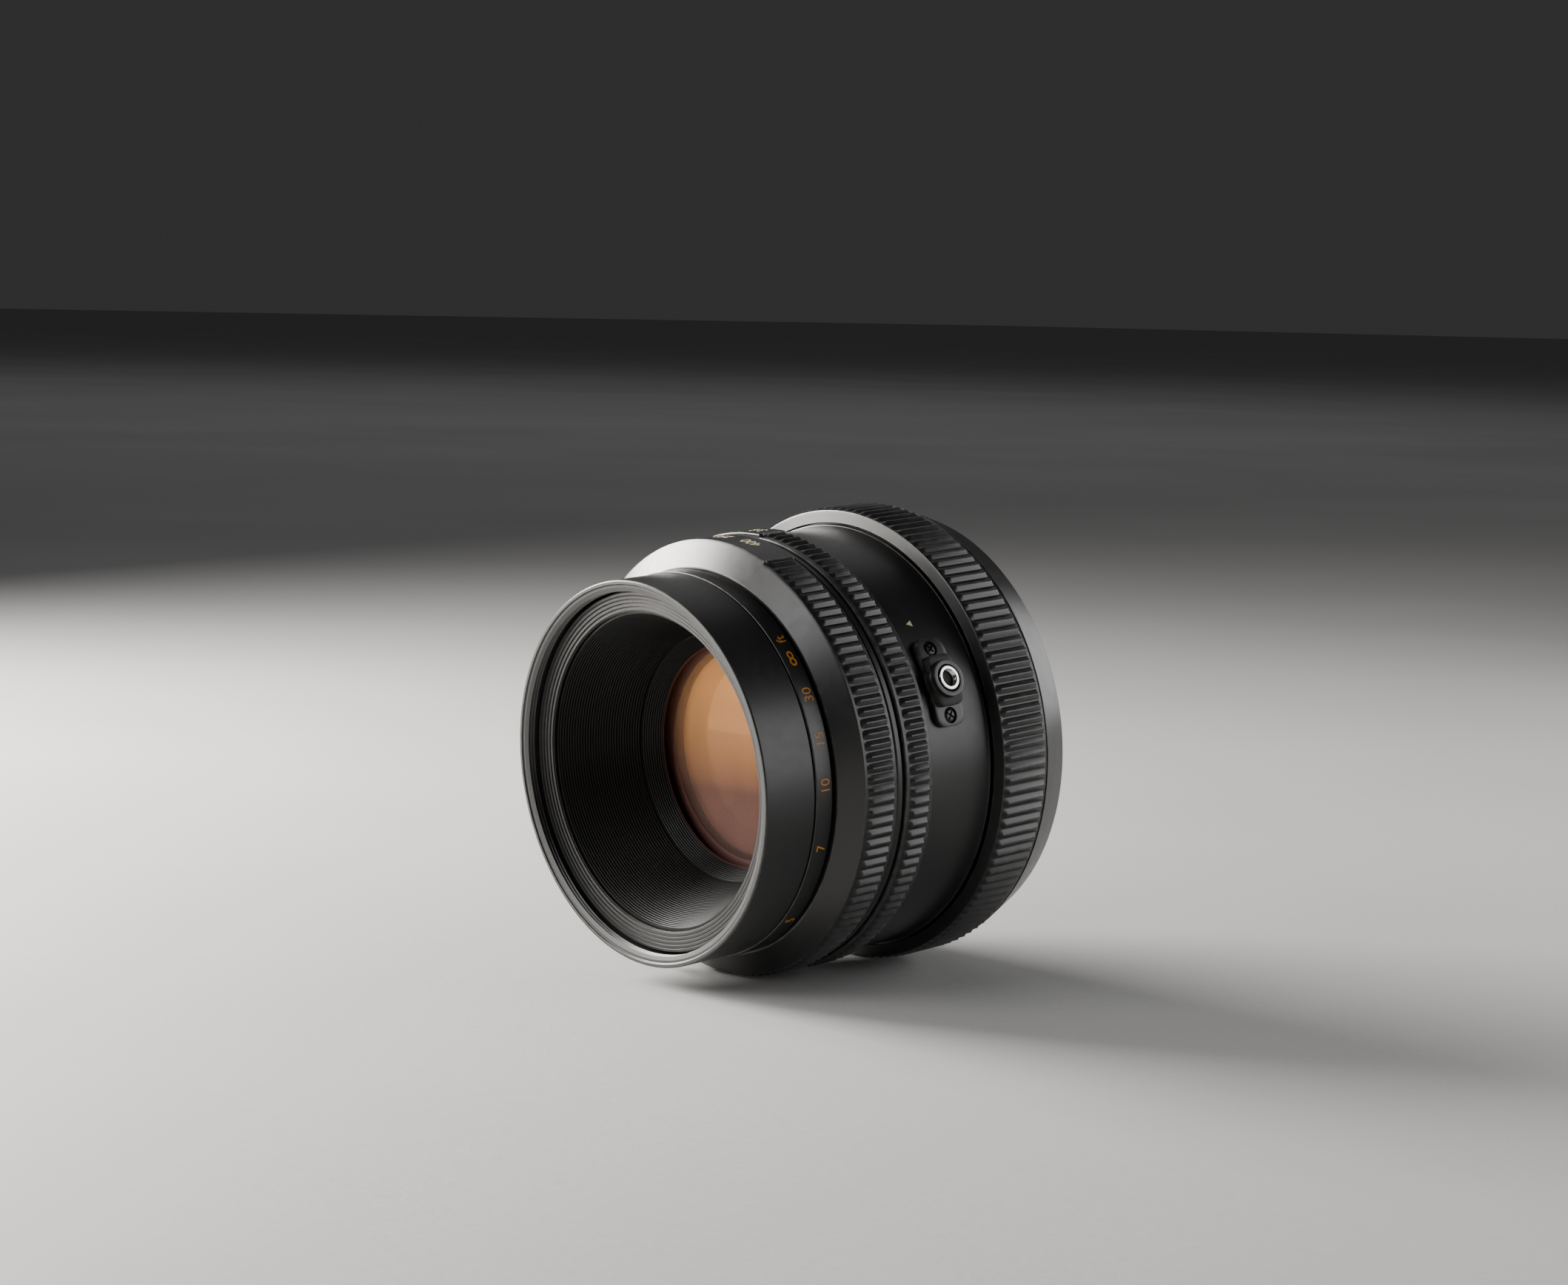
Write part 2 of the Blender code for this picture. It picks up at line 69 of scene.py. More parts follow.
MM = 0.001
FRONT_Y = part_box("front_barrel")[0].y
BAYONET_LOW, BAYONET_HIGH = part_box("bayonet_ring")
AXIS_Z = (BAYONET_LOW.z + BAYONET_HIGH.z) / 2
BAYONET_CREST = (BAYONET_HIGH.z - AXIS_Z) / MM
LENGTH = (BAYONET_HIGH.y - FRONT_Y) / MM
RIM_RADIUS = (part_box("front_barrel")[1].z - AXIS_Z) / MM

RIDGE_HEIGHT = 0.6
SPEED_LAND = 46.6
APERTURE_LAND = 46.9
BAYONET_LAND = BAYONET_CREST - RIDGE_HEIGHT
RING_BORE = 44.3
SETTING_RIDGES = 126  # ridges in a whole turn of the two setting rings
BAYONET_RIDGES = 128
SOCKET_CENTRE = 47.1  # release socket: distance behind the rim
SOCKET_ANGLE = 67.9  # and angle round the barrel
SCREW_ANGLES = (59.1, 76.9)  # the two screws beside the release socket
BARREL_RADIUS = 45.8
DISTANCE_RADIUS = 41.3
INDEX_RADIUS = 46.4
INDEX_ANGLE = -1.2  # the index line on the fixed ring
CLICK = 11.0  # degrees between the numbers of the setting rings
FLASH_PLACE = (47.0, 270.0)  # flash socket: distance behind the rim, angle
COCKING_RADIUS = 36.0  # circle of the cocking pins and their slots
MOUNT_SCREW_RADIUS = 41.2  # circle of the four screws of the mount
MOUNT_SCREW_ANGLES = (45.0, 135.0, 225.0, 315.0)
CROSS_SIZE = (2.0, 1.2, 0.42)  # an arm of the cross in a screw head: length, depth, width

STEPS = 240  # columns round a turned piece
PER_SIDE = 8  # parts of each straight side of a rounded rectangle
SHARP = 38.0  # faces that meet at more degrees than this show an edge
MERGE = 1e-7  # points closer than this, in metres, become one
WEAR = "edge_wear"  # mesh attribute: 1 where an edge would wear
WEAR_FROM, WEAR_SPAN = 7.0, 14.0  # degrees of bend where wear starts, and more until it is full
ALONG = Vector((0.0, 1.0, 0.0))
BOX_FACES = [(0, 1, 3, 2), (4, 5, 7, 6), (0, 1, 5, 4), (2, 3, 7, 6), (0, 2, 6, 4), (1, 3, 7, 5)]

SLOTS = {part["node"]: part["material_slot"] for part in frame["record"]["subparts"]}


# ---- places

def at(distance, radius, angle):
    """A point of the lens in the shared frame, in metres."""
    turn = radians(angle)
    return Vector((radius * sin(turn) * MM, FRONT_Y + distance * MM, AXIS_Z + radius * cos(turn) * MM))


def outward_at(angle):
    """The direction away from the optical axis."""
    return Vector((sin(radians(angle)), 0.0, cos(radians(angle))))


def around_at(angle):
    """The direction round the optical axis."""
    return Vector((cos(radians(angle)), 0.0, -sin(radians(angle))))


def standing_at(height, radius, turn, distance, angle):
    """A point round a radial line of the lens: height is its distance from the optical axis."""
    foot = Vector((0.0, FRONT_Y + distance * MM, AXIS_Z))
    sideways = around_at(angle) * cos(turn) + ALONG * sin(turn)
    return foot + (outward_at(angle) * height + sideways * radius) * MM


# ---- materials

class Shading:
    """A material whose nodes are added one after another, ending in one Principled shader."""

    def __init__(self, name, colour, roughness, metallic=0.0):
        self.material = bpy.data.materials.new(name)
        self.material.use_nodes = True
        self.tree = self.material.node_tree
        self.shader = self.tree.nodes["Principled BSDF"]
        self.shader.inputs["Base Color"].default_value = (*colour, 1.0)
        self.shader.inputs["Roughness"].default_value = roughness
        self.shader.inputs["Metallic"].default_value = metallic
        self.place = self.tree.nodes.new("ShaderNodeTexCoord").outputs["Object"]

    def node(self, kind, **values):
        made = self.tree.nodes.new(kind)
        for key, value in values.items():
            setattr(made, key, value)
        return made

    def link(self, source, target):
        self.tree.links.new(source, target)

    def math(self, operation, a, b):
        made = self.node("ShaderNodeMath", operation=operation)
        for socket, value in zip(made.inputs, (a, b)):
            if isinstance(value, (int, float)):
                socket.default_value = value
            else:
                self.link(value, socket)
        return made.outputs[0]

    def noise(self, scale, detail, stretch=(1.0, 1.0, 1.0), place=None):
        """Noise from 0 to 1 whose scale is in features per metre."""
        mapping = self.node("ShaderNodeMapping")
        mapping.inputs["Scale"].default_value = [scale * s for s in stretch]
        self.link(place or self.place, mapping.inputs["Vector"])
        made = self.node("ShaderNodeTexNoise")
        made.inputs["Scale"].default_value = 1.0
        made.inputs["Detail"].default_value = detail
        self.link(mapping.outputs[0], made.inputs["Vector"])
        return made.outputs["Fac"]

    def turned_place(self):
        """Coordinates for tool marks: (radius, distance along the axis, 0)."""
        shift = self.node("ShaderNodeVectorMath", operation="SUBTRACT")
        self.link(self.place, shift.inputs[0])
        shift.inputs[1].default_value = (0.0, FRONT_Y, AXIS_Z)
        flat = self.node("ShaderNodeVectorMath", operation="MULTIPLY")
        self.link(shift.outputs[0], flat.inputs[0])
        flat.inputs[1].default_value = (1.0, 0.0, 1.0)
        length = self.node("ShaderNodeVectorMath", operation="LENGTH")
        self.link(flat.outputs[0], length.inputs[0])
        split = self.node("ShaderNodeSeparateXYZ")
        self.link(shift.outputs[0], split.inputs[0])
        join = self.node("ShaderNodeCombineXYZ")
        self.link(length.outputs["Value"], join.inputs["X"])
        self.link(split.outputs["Y"], join.inputs["Y"])
        return join.outputs[0]

    def ramp(self, value, low, high, start=0.0, end=1.0):
        """Maps low..high of a value to start..end, clamped."""
        made = self.node("ShaderNodeMapRange")
        self.link(value, made.inputs["Value"])
        for key, number in (("From Min", low), ("From Max", high), ("To Min", start), ("To Max", end)):
            made.inputs[key].default_value = number
        return made.outputs["Result"]

    def mix(self, share, first, second):
        """A colour between two colours; each may be a tuple or an output."""
        made = self.node("ShaderNodeMix", data_type="RGBA")
        self.link(share, made.inputs["Factor"])
        for socket, value in ((made.inputs[6], first), (made.inputs[7], second)):
            if isinstance(value, tuple):
                socket.default_value = (*value, 1.0)
            else:
                self.link(value, socket)
        return made.outputs[2]

    def bump(self, height, distance_mm, strength, normal=None):
        made = self.node("ShaderNodeBump")
        made.inputs["Distance"].default_value = distance_mm * MM
        made.inputs["Strength"].default_value = strength
        self.link(height, made.inputs["Height"])
        if normal:
            self.link(normal, made.inputs["Normal"])
        return made.outputs["Normal"]

    def edges(self):
        """1 on the convex edges of a piece, 0 elsewhere, from the mesh's own attribute."""
        stored = self.node("ShaderNodeAttribute", attribute_name=WEAR)
        return stored.outputs["Fac"]

    def set(self, colour, roughness, normal=None):
        self.link(colour, self.shader.inputs["Base Color"])
        self.link(roughness, self.shader.inputs["Roughness"])
        if normal:
            self.link(normal, self.shader.inputs["Normal"])


def satin_black(name, tone=0.010, roughness=0.36, wear=0.25, turned=0.35, grain=0.4):
    """Black anodised aluminium: satin grain, faint tool marks, dust and a little wear on the edges."""
    dust_grey, bare_grey = (0.16, 0.155, 0.15), (0.26, 0.255, 0.25)
    look = Shading(name, (tone,) * 3, roughness)
    broad = look.noise(70.0, 3.0)
    fine = look.noise(9000.0, 2.0)
    specks = look.noise(1500.0, 1.0)
    marks = look.noise(1.0, 2.0, (5200.0, 5200.0, 0.0), look.turned_place())
    scuffs = look.noise(520.0, 4.0)
    colour = look.mix(broad, (tone * 0.85, tone * 0.85, tone * 0.87), (tone * 1.18, tone * 1.16, tone * 1.12))
    dust = look.ramp(specks, 0.80, 0.85, 0.0, 0.25)
    colour = look.mix(dust, colour, dust_grey)
    worn = look.math("MULTIPLY", look.edges(), look.ramp(scuffs, 0.42, 0.62, 0.2 * wear, wear))
    colour = look.mix(worn, colour, bare_grey)
    rough = look.ramp(scuffs, 0.3, 0.7, roughness - 0.025, roughness + 0.03)
    rough = look.math("ADD", rough, look.math("MULTIPLY", dust, 0.5))
    normal = look.bump(fine, 0.004, grain)
    normal = look.bump(marks, 0.003, turned, normal)
    look.set(colour, rough, normal)
    return look.material


def matt_black(name, tone=0.010, roughness=0.62, gloss=0.5):
    """Anti-reflection black inside the lens, with fine turned rings and settled dust."""
    dust_grey = (0.12, 0.118, 0.115)
    look = Shading(name, (tone,) * 3, roughness)
    look.shader.inputs["Specular IOR Level"].default_value = gloss
    broad = look.noise(90.0, 3.0)
    marks = look.noise(1.0, 2.0, (6500.0, 6500.0, 0.0), look.turned_place())
    fine = look.noise(7000.0, 2.0)
    specks = look.noise(1300.0, 1.0)
    colour = look.mix(broad, (tone * 0.7,) * 3, (tone * 1.5, tone * 1.45, tone * 1.4))
    colour = look.mix(look.ramp(specks, 0.78, 0.83, 0.0, 0.3), colour, dust_grey)
    look.set(colour, look.ramp(broad, 0.3, 0.7, roughness - 0.06, roughness + 0.08),
             look.bump(marks, 0.006, 0.5, look.bump(fine, 0.004, 0.5)))
    return look.material


def turned_metal(name, colour, roughness, marks_depth=0.003, stain=0.25):
    """Bare turned metal with concentric tool marks and a thin tarnish."""
    look = Shading(name, colour, roughness, 1.0)
    broad = look.noise(160.0, 4.0)
    marks = look.noise(1.0, 3.0, (7000.0, 7000.0, 0.0), look.turned_place())
    tarnished = tuple(c * (1.0 - stain) for c in colour)
    base = look.mix(look.ramp(broad, 0.35, 0.7), colour, tarnished)
    rough = look.ramp(look.math("ADD", broad, marks), 0.6, 1.4, roughness - 0.07, roughness + 0.1)
    look.set(base, rough, look.bump(marks, marks_depth, 0.6))
    return look.material


def coated_glass(name, top, bottom, alpha, roughness=0.02, mirror=1.0):
    """A lens surface with a coating tint and a painted reflection, dark at the bottom and bright at the top:
    a mirror, or a soft diffuse glow of the same colours.

    Alpha is the share of it that shows, and the rest lets the light through.
    """
    painted_reflection_low, painted_reflection_high, dust_grey = -10.0, 13.0, (0.3, 0.29, 0.27)
    look = Shading(name, top, roughness, mirror)
    split = look.node("ShaderNodeSeparateXYZ")
    look.link(look.place, split.inputs[0])
    # painted reflection: the colour runs from the dark bottom tint to the bright top tint with height above
    # the axis
    height = look.ramp(split.outputs["Z"], AXIS_Z + painted_reflection_low * MM, AXIS_Z + painted_reflection_high * MM)
    clouds = look.math("MULTIPLY", look.noise(45.0, 2.0), 0.16)
    share = look.math("ADD", height, look.math("SUBTRACT", clouds, 0.08))
    colour = look.mix(share, bottom, top)
    specks = look.noise(1700.0, 1.0)
    colour = look.mix(look.ramp(specks, 0.82, 0.85, 0.0, 0.12), colour, dust_grey)
    look.set(colour, look.ramp(look.noise(260.0, 3.0), 0.3, 0.8, roughness, roughness + 0.05))
    look.shader.inputs["Alpha"].default_value = alpha
    return look.material


def printed(name, colour):
    """Screen-printed paint on the rings, slightly uneven."""
    look = Shading(name, colour, 0.5)
    uneven = look.noise(2600.0, 3.0)
    faded = tuple(c * 0.72 for c in colour)
    look.set(look.mix(look.ramp(uneven, 0.3, 0.7), faded, colour),
             look.ramp(uneven, 0.3, 0.7, 0.42, 0.6), look.bump(uneven, 0.004, 0.4))
    return look.material


BLACK = satin_black("barrel_anodised")
RING_BLACK = satin_black("ring_anodised", tone=0.011, roughness=0.33, wear=0.16, grain=0.9)
ENAMEL = satin_black("barrel_enamel", tone=0.009, roughness=0.33, wear=0.2, turned=0.2, grain=0.3)
MATT = matt_black("inner_matt")
WELL = matt_black("well_matt", tone=0.004, roughness=0.42, gloss=0.17)
STAIRS = satin_black("stairs_anodised", tone=0.010, roughness=0.38, wear=0.1)
RIM = satin_black("rim_worn", tone=0.02, roughness=0.36, wear=0.3)
STEEL = turned_metal("turned_steel", (0.47, 0.465, 0.455), 0.3)
DARK_STEEL = turned_metal("dark_steel", (0.055, 0.055, 0.058), 0.36)
CHROME = turned_metal("bright_chrome", (0.80, 0.79, 0.77), 0.14, marks_depth=0.001, stain=0.08)
BRASS = turned_metal("turned_brass", (0.60, 0.44, 0.20), 0.3)
# glass looks: the coating tints below are a painted reflection, bright at the top and dark at the bottom; on
# the rear and clear glass the painted gradient is weaker
FRONT_COAT_PAINTED_REFLECTION = coated_glass("front_coating_painted_reflection", (0.85, 0.42, 0.20), (0.42, 0.20, 0.15), 0.03)
BACK_COAT_PAINTED_REFLECTION = coated_glass("back_coating_painted_reflection", (0.95, 0.45, 0.17), (0.17, 0.07, 0.05), 0.30, 0.3, 0.25)
INNER_COAT_PAINTED_REFLECTION = coated_glass("inner_coating_painted_reflection", (1.0, 0.48, 0.15), (0.12, 0.05, 0.035), 0.88, 0.34, 0.6)
# the edge ink is brown to paint in a dark reflection, a little lighter at the top
EDGE_INK_PAINTED_REFLECTION = coated_glass("glass_edge_ink_painted_reflection", (0.15, 0.055, 0.03), (0.09, 0.03, 0.025), 1.0, 0.5, 0.0)
REAR_COAT = coated_glass("rear_coating", (0.75, 0.50, 0.42), (0.50, 0.32, 0.40), 0.2)
CLEAR = coated_glass("clear_coating", (0.45, 0.50, 0.62), (0.35, 0.38, 0.52), 0.08)
CREAM = printed("cream_print", (0.72, 0.66, 0.42))
ORANGE = printed("orange_print", (0.66, 0.24, 0.016))

# the material of each slot in the record
LOOKS = {
    "black_metal": BLACK, "ring_metal": RING_BLACK, "black_paint": ENAMEL, "flat_black": MATT,
    "coated_glass": REAR_COAT, "clear_glass": CLEAR, "dark_steel": DARK_STEEL, "steel": STEEL,
    "brass": BRASS, "chrome": CHROME,
}


# ---- meshes

def placed(name, data):
    """A new object in the scene."""
    obj = bpy.data.objects.new(name, data)
    bpy.context.scene.collection.objects.link(obj)
    return obj


def edge_wear(vert):
    """How sharply the mesh bends outwards at a vertex, from 0 to 1."""
    angles = [edge.calc_face_angle_signed(0.0) for edge in vert.link_edges if len(edge.link_faces) == 2]
    bend = max(angles, default=0.0)
    return min(1.0, max(0.0, (bend - radians(WEAR_FROM)) / radians(WEAR_SPAN)))


def piece(name, points, faces, node, look=None, replace=True, sharp=SHARP):
    """A mesh that rides on the body of a CAD node, has the look of that node's slot unless another look is
    given, and may stand for it.
    """
    mesh = bpy.data.meshes.new(name)
    mesh.from_pydata([tuple(p) for p in points], [], faces)
    bm = bmesh.new()
    bm.from_mesh(mesh)
    bmesh.ops.remove_doubles(bm, verts=bm.verts, dist=MERGE)
    bmesh.ops.recalc_face_normals(bm, faces=bm.faces)
    wear = [edge_wear(vert) for vert in bm.verts]
    bm.to_mesh(mesh)
    bm.free()
    mesh.attributes.new(WEAR, "FLOAT", "POINT").data.foreach_set("value", wear)
    mesh.shade_smooth()
    mesh.set_sharp_from_angle(angle=radians(sharp))
    mesh.materials.append(look or LOOKS[SLOTS[node]])
    obj = placed(name, mesh)
    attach(obj, frame["nodes"][node]["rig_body"])
    if replace:
        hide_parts(node)
    return obj


def softened(section, size, arc=3):
    """The closed section with a small round at each corner that is off the axis.

    A support point on each side of a round keeps the wear close to it.
    """
    most = 0.3  # share of a side that one round may take
    result = []
    for k, corner in enumerate(section):
        here = Vector(corner)
        into = Vector(section[k - 1]) - here
        away = Vector(section[(k + 1) % len(section)]) - here
        if here.y == 0.0:
            result.append(tuple(here))
            continue
        start = here + into.normalized() * min(size, into.length * most)
        end = here + away.normalized() * min(size, away.length * most)
        if into.length > 5 * size:
            result.append(tuple(here + into.normalized() * 2 * size))
        for j in range(arc + 1):
            t = j / arc
            result.append(tuple((1 - t) ** 2 * start + 2 * t * (1 - t) * here + t * t * end))
        if away.length > 5 * size:
            result.append(tuple(here + away.normalized() * 2 * size))
    return result


def grid_faces(loops, closed):
    """Quads between loops of point indices; a loop of one repeated index is a pole."""
    faces = []
    pairs = list(zip(loops, loops[1:]))
    if closed:
        pairs.append((loops[-1], loops[0]))
    for near, far in pairs:
        count = len(near)
        for k in range(count):
            after = (k + 1) % count
            corners = list(dict.fromkeys((near[k], near[after], far[after], far[k])))
            if len(corners) > 2:
                faces.append(corners)
    return faces


def lofted_faces(points, count):
    """Faces of a solid whose points are a row of outlines with a number of points each."""
    loops = [range(k, k + count) for k in range(0, len(points), count)]
    return [tuple(loops[0]), tuple(loops[-1]), *grid_faces(loops, False)]


def revolve(section, place=at, steps=STEPS, line=()):
    """Points and faces of a section turned about the optical axis.

    With standing_at it turns about the radial line at (distance, angle).
    """
    points, loops = [], []
    for distance, radius in section:
        if radius == 0.0:
            points.append(place(distance, 0.0, 0.0, *line))
            loops.append([len(points) - 1] * steps)
        else:
            loops.append(range(len(points), len(points) + steps))
            turn = 2 * pi if line else 360.0
            points += [place(distance, radius, turn * k / steps, *line) for k in range(steps)]
    return points, grid_faces(loops, section[0][1] != 0.0)


def turned(name, node, section, look=None, soft=0.1):
    """A ring or solid turned about the optical axis."""
    points, faces = revolve(softened(section, soft) if soft else section)
    return piece(name, points, faces, node, look)


def standing(name, node, section, distance, angle, look=None, soft=0.1, replace=True, steps=48):
    """A ring or solid turned about a radial line; its section is (distance from the axis, radius)."""
    points, faces = revolve(softened(section, soft, 2), standing_at, steps, (distance, angle))
    return piece(name, points, faces, node, look, replace)


def upright(name, node, section, radius, angle, soft=0.1):
    """A pin or screw turned about a line parallel to the optical axis."""
    centre = at(0.0, radius, angle) - at(0.0, 0.0, 0.0)
    points, faces = revolve(softened(section, soft, 2), steps=32)
    return piece(name, [p + centre for p in points], faces, node)


def paint(obj, look, test):
    """Gives a second material to the faces whose centre, as (distance, radius), passes a test."""
    obj.data.materials.append(look)
    slot = len(obj.data.materials) - 1
    for face in obj.data.polygons:
        x, y, z = face.center
        radius = Vector((x, z - AXIS_Z)).length / MM
        if test((y - FRONT_Y) / MM, radius):
            face.material_index = slot


def carve(obj, cutters):
    """Cuts other meshes out of a piece for good, and removes them."""
    for tool in cutters:
        modifier = obj.modifiers.new("cut", "BOOLEAN")
        modifier.object = tool
        modifier.operation = "DIFFERENCE"
        modifier.solver = "EXACT"
    graph = bpy.context.evaluated_depsgraph_get()
    carved = bpy.data.meshes.new_from_object(obj.evaluated_get(graph))
    obj.modifiers.clear()
    obj.data = carved
    carved.set_sharp_from_angle(angle=radians(SHARP))
    for tool in cutters:
        bpy.data.objects.remove(tool)


def cutter(points, faces):
    """A closed mesh for carve() to cut away; the faces that it leaves are matt black."""
    mesh = bpy.data.meshes.new("cutter")
    mesh.from_pydata([tuple(p) for p in points], [], faces)
    bm = bmesh.new()
    bm.from_mesh(mesh)
    bmesh.ops.recalc_face_normals(bm, faces=bm.faces)
    bm.to_mesh(mesh)
    bm.free()
    mesh.materials.append(MATT)
    return placed("cutter", mesh)


# ---- front

def stairs(start, end, count, tread):
    """Steps down a cone: each has a tread along the axis and then a slope to the next radius."""
    (s0, r0), (s1, r1) = start, end
    length, drop = (s1 - s0) / count, (r1 - r0) / count
    section = []
    for k in range(count):
        section.append((s0 + length * k, r0 + drop * k))
        section.append((s0 + length * (k + tread), r0 + drop * k))
    return section + [end]


def front_barrel():
    """The front tube with the filter thread inside its rim."""
    pitch, start, turns, crest, root = 0.75, 0.8, 3, 38.5, 38.92
    thread = []
    for k in range(turns):
        begin = start + pitch * k
        thread += [(begin, crest), (begin + 0.31, root), (begin + 0.42, root)]
    section = [
        (0.0, 40.15), (0.0, RIM_RADIUS - 0.25), (0.25, RIM_RADIUS), (12.85, RIM_RADIUS), (12.85, 39.0),
        (19.9, 39.0), (19.9, 36.0), (4.9, 36.0), (4.9, crest), *thread[::-1], (0.7, 38.55), (0.35, 39.45),
        (0.35, 39.95),
    ]
    barrel = turned("front_tube", "front_barrel", section)
    # the worn front face, and the chamfer that leads into the thread
    paint(barrel, RIM, lambda s, r: (s < 0.05 and r > 40.1) or (0.34 < s < 0.74 and r < 39.45))


def filter_steps():
    """The ring of stairs behind the filter thread, with a groove below each stair."""
    section = []
    count, first, last, start, end = 5, 38.08, 34.0, 3.1, 4.1
    for k in range(count):
        top = first + (last - first) * k / count
        s = start + (end - start) * k / count
        section += [(s, top), (s, top - 0.56), (s + 0.34, top - 0.66), (s + 0.30, top - 0.80)]
    section += [(4.6, last), (4.6, first)]
    turned("filter_stairs", "stepped_ring", section, STAIRS, soft=0.04)


def well():
    """The two grooved cones that lead down to the front glass."""
    cone = stairs((4.9, 33.4), (22.2, 26.9), count=31, tread=0.62)
    turned("grooved_cone", "conical_baffle", [*cone, (22.2, 28.4), (6.2, 35.6), (4.9, 35.6)], WELL, soft=0.03)
    grooves = stairs((22.55, 26.55), (26.5, 24.25), count=9, tread=0.55)
    grooves += [(26.5, 27.6), (22.55, 27.6)]
    turned("grooved_retainer", "front_retaining_ring", grooves, WELL, soft=0.03)


def cap(edge, vertex, radius, steps):
    """A spherical face from its edge to the axis."""
    sag = abs(vertex - edge)
    sphere = (radius ** 2 + sag ** 2) / (2 * sag)
    side = 1.0 if vertex > edge else -1.0
    section = []
    for k in range(steps):
        r = radius * (1 - k / steps)
        section.append((edge + side * ((sphere ** 2 - r ** 2) ** 0.5 - sphere + sag), r))
    return section + [(vertex, 0.0)]


def glasses():
    """A front element that bulges on both sides, a hollow-ground one behind it, and two at the rear."""
    rim, front_radius, back_radius, back_edge, hollow_radius = 27.4, 24.1, 23.3, 29.4, 22.5
    front = cap(26.8, 22.9, front_radius, 14)[::-1]
    back = cap(back_edge, 32.4, back_radius, 14)
    section = [*front, (26.8, rim), (back_edge, rim), *back]
    glass = turned("front_element", "front_glass", section, FRONT_COAT_PAINTED_REFLECTION, soft=0)
    behind, within = back_edge - 0.1, back_radius + 0.05
    # the edge and the back face outside the clear circle get the edge ink, whose brown is a painted
    # reflection
    paint(glass, EDGE_INK_PAINTED_REFLECTION, lambda s, r: r > front_radius + 0.1 or (s > behind and r > within))
    # the back face inside the clear circle gets the back coating, a painted reflection bright at the top
    paint(glass, BACK_COAT_PAINTED_REFLECTION, lambda s, r: s > behind and r < within)
    hollow = cap(31.2, 34.2, hollow_radius, 14)[::-1]
    section = [*hollow, (31.2, rim), (36.8, rim), (36.8, 0.0)]
    # the hollow face of the inner element is a painted reflection, bright peach at the top and dark at the
    # bottom
    second = turned("inner_element", "second_glass", section, INNER_COAT_PAINTED_REFLECTION, soft=0)
    paint(second, MATT, lambda s, r: r > hollow_radius + 0.1)
    rim, face_radius = 26.8, 24.2
    inner = cap(54.5, 53.3, face_radius, 10)[::-1]
    section = [*inner, (54.5, rim), (58.3, rim), (58.3, 0.0)]
    turned("rear_inner_element", "rear_glass_inner", section, soft=0)
    outer = cap(67.0, 69.5, face_radius, 14)
    turned("rear_element", "rear_glass_outer", [(61.3, 0.0), (61.3, rim), (67.0, rim), *outer], soft=0)


def plain_rings():
    """Rings that need no more than their section and the round of its corners, by node."""
    rings = {
        "distance_ring": ([(13.15, 39.35), (13.15, DISTANCE_RADIUS), (17.5, DISTANCE_RADIUS),
                           (17.5, 39.35)], 0.2),
        "index_ring": ([(30.8, RING_BORE), (30.8, 46.15), (31.15, INDEX_RADIUS), (32.25, INDEX_RADIUS),
                        (32.6, 46.15), (32.6, RING_BORE)], 0.12),
        "shutter_housing": ([(20.2, 31.4), (20.2, 41.3), (21.3, 42.5), (21.3, 44.0), (40.1, 44.0),
                             (40.1, 42.0), (22.5, 42.0), (22.5, 33.0), (38.5, 33.0), (38.5, 31.4)], 0.1),
        "front_cell": ([(22.5, 27.9), (22.5, 31.0), (37.0, 31.0), (37.0, 27.9), (30.9, 27.9), (30.9, 22.8),
                        (29.7, 23.3), (29.7, 27.9)], 0.05),
        "rear_cell": ([(52.0, 27.2), (52.0, 30.3), (73.5, 30.3), (73.5, 27.2), (61.0, 27.2), (61.0, 25.0),
                       (58.6, 25.0), (58.6, 27.2)], 0.15),
        "rear_inner_ring": ([(52.0, 25.5), (52.0, 26.9), (54.2, 26.9), (54.2, 24.5)], 0.1),
        "shutter_drive_ring": ([(42.4, 32.2), (42.4, 35.5), (44.0, 35.5), (44.0, 32.2)], 0.15),
        "iris_drive_ring": ([(47.8, 32.2), (47.8, 35.5), (49.5, 35.5), (49.5, 32.2)], 0.15),
        "bayonet_retainer": ([(66.4, 44.3), (66.4, 45.0), (67.6, 45.0), (67.6, 44.3)], 0.1),
        "cocking_ring": ([(66.5, 33.0), (66.5, 39.0), (69.5, 39.0), (69.5, 33.0)], 0.15),
    }
    for node, (section, soft) in rings.items():
        turned(node + "_turned", node, section, soft=soft)


def lever():
    """The preview lever: a hooked tab with a sloped, stepped thumb face, and a foot that runs inwards."""
    angle, width, rounding = 200.0, 2.8, 0.2
    side = [(14.3, 41.75), (14.3, 43.2), (14.9, 45.2), (15.6, 46.0), (17.4, 46.0), (18.2, 45.4), (18.2, 39.5),
            (17.85, 39.5), (17.85, 41.75)]
    outward, across = outward_at(angle), around_at(angle)
    outline = softened(side, 0.25)
    points = [at(distance, 0.0, 0.0) + (outward * radius + across * half * width) * MM
              for half in (-0.5, 0.5) for distance, radius in outline]
    tab = piece("preview_tab", points, lofted_faces(points, len(outline)), "preview_lever")
    bevel = tab.modifiers.new("edge_round", "BEVEL")
    bevel.width = rounding * MM
    bevel.segments = 3


# ---- ridged rings

def ridge_columns(ridges, first, last):
    """Columns round a grip: (angle, offset from the ridge's middle, height, 1 on the plain band).

    A ridge is a low triangle with a narrow flat crest, and a narrow valley is left between two ridges.
    """
    pitch = 360.0 / ridges
    half = ((0.445, 0.0), (0.415, 0.07), (0.36, 0.217), (0.12, 0.84), (0.06, 0.97), (0.035, 1.0))
    shape = [(-offset, height) for offset, height in half] + list(half[::-1])
    count = round((last - first) / pitch)
    columns = [(first + pitch * (k + 0.5), pitch * offset, height, 0.0)
               for k in range(count) for offset, height in shape]
    band = 360.0 - (last - first)
    if band > pitch / 2:
        spans = 96
        columns += [(last + band * k / spans, 0.0, 0.0, 1.0) for k in range(spans + 1)]
    return columns


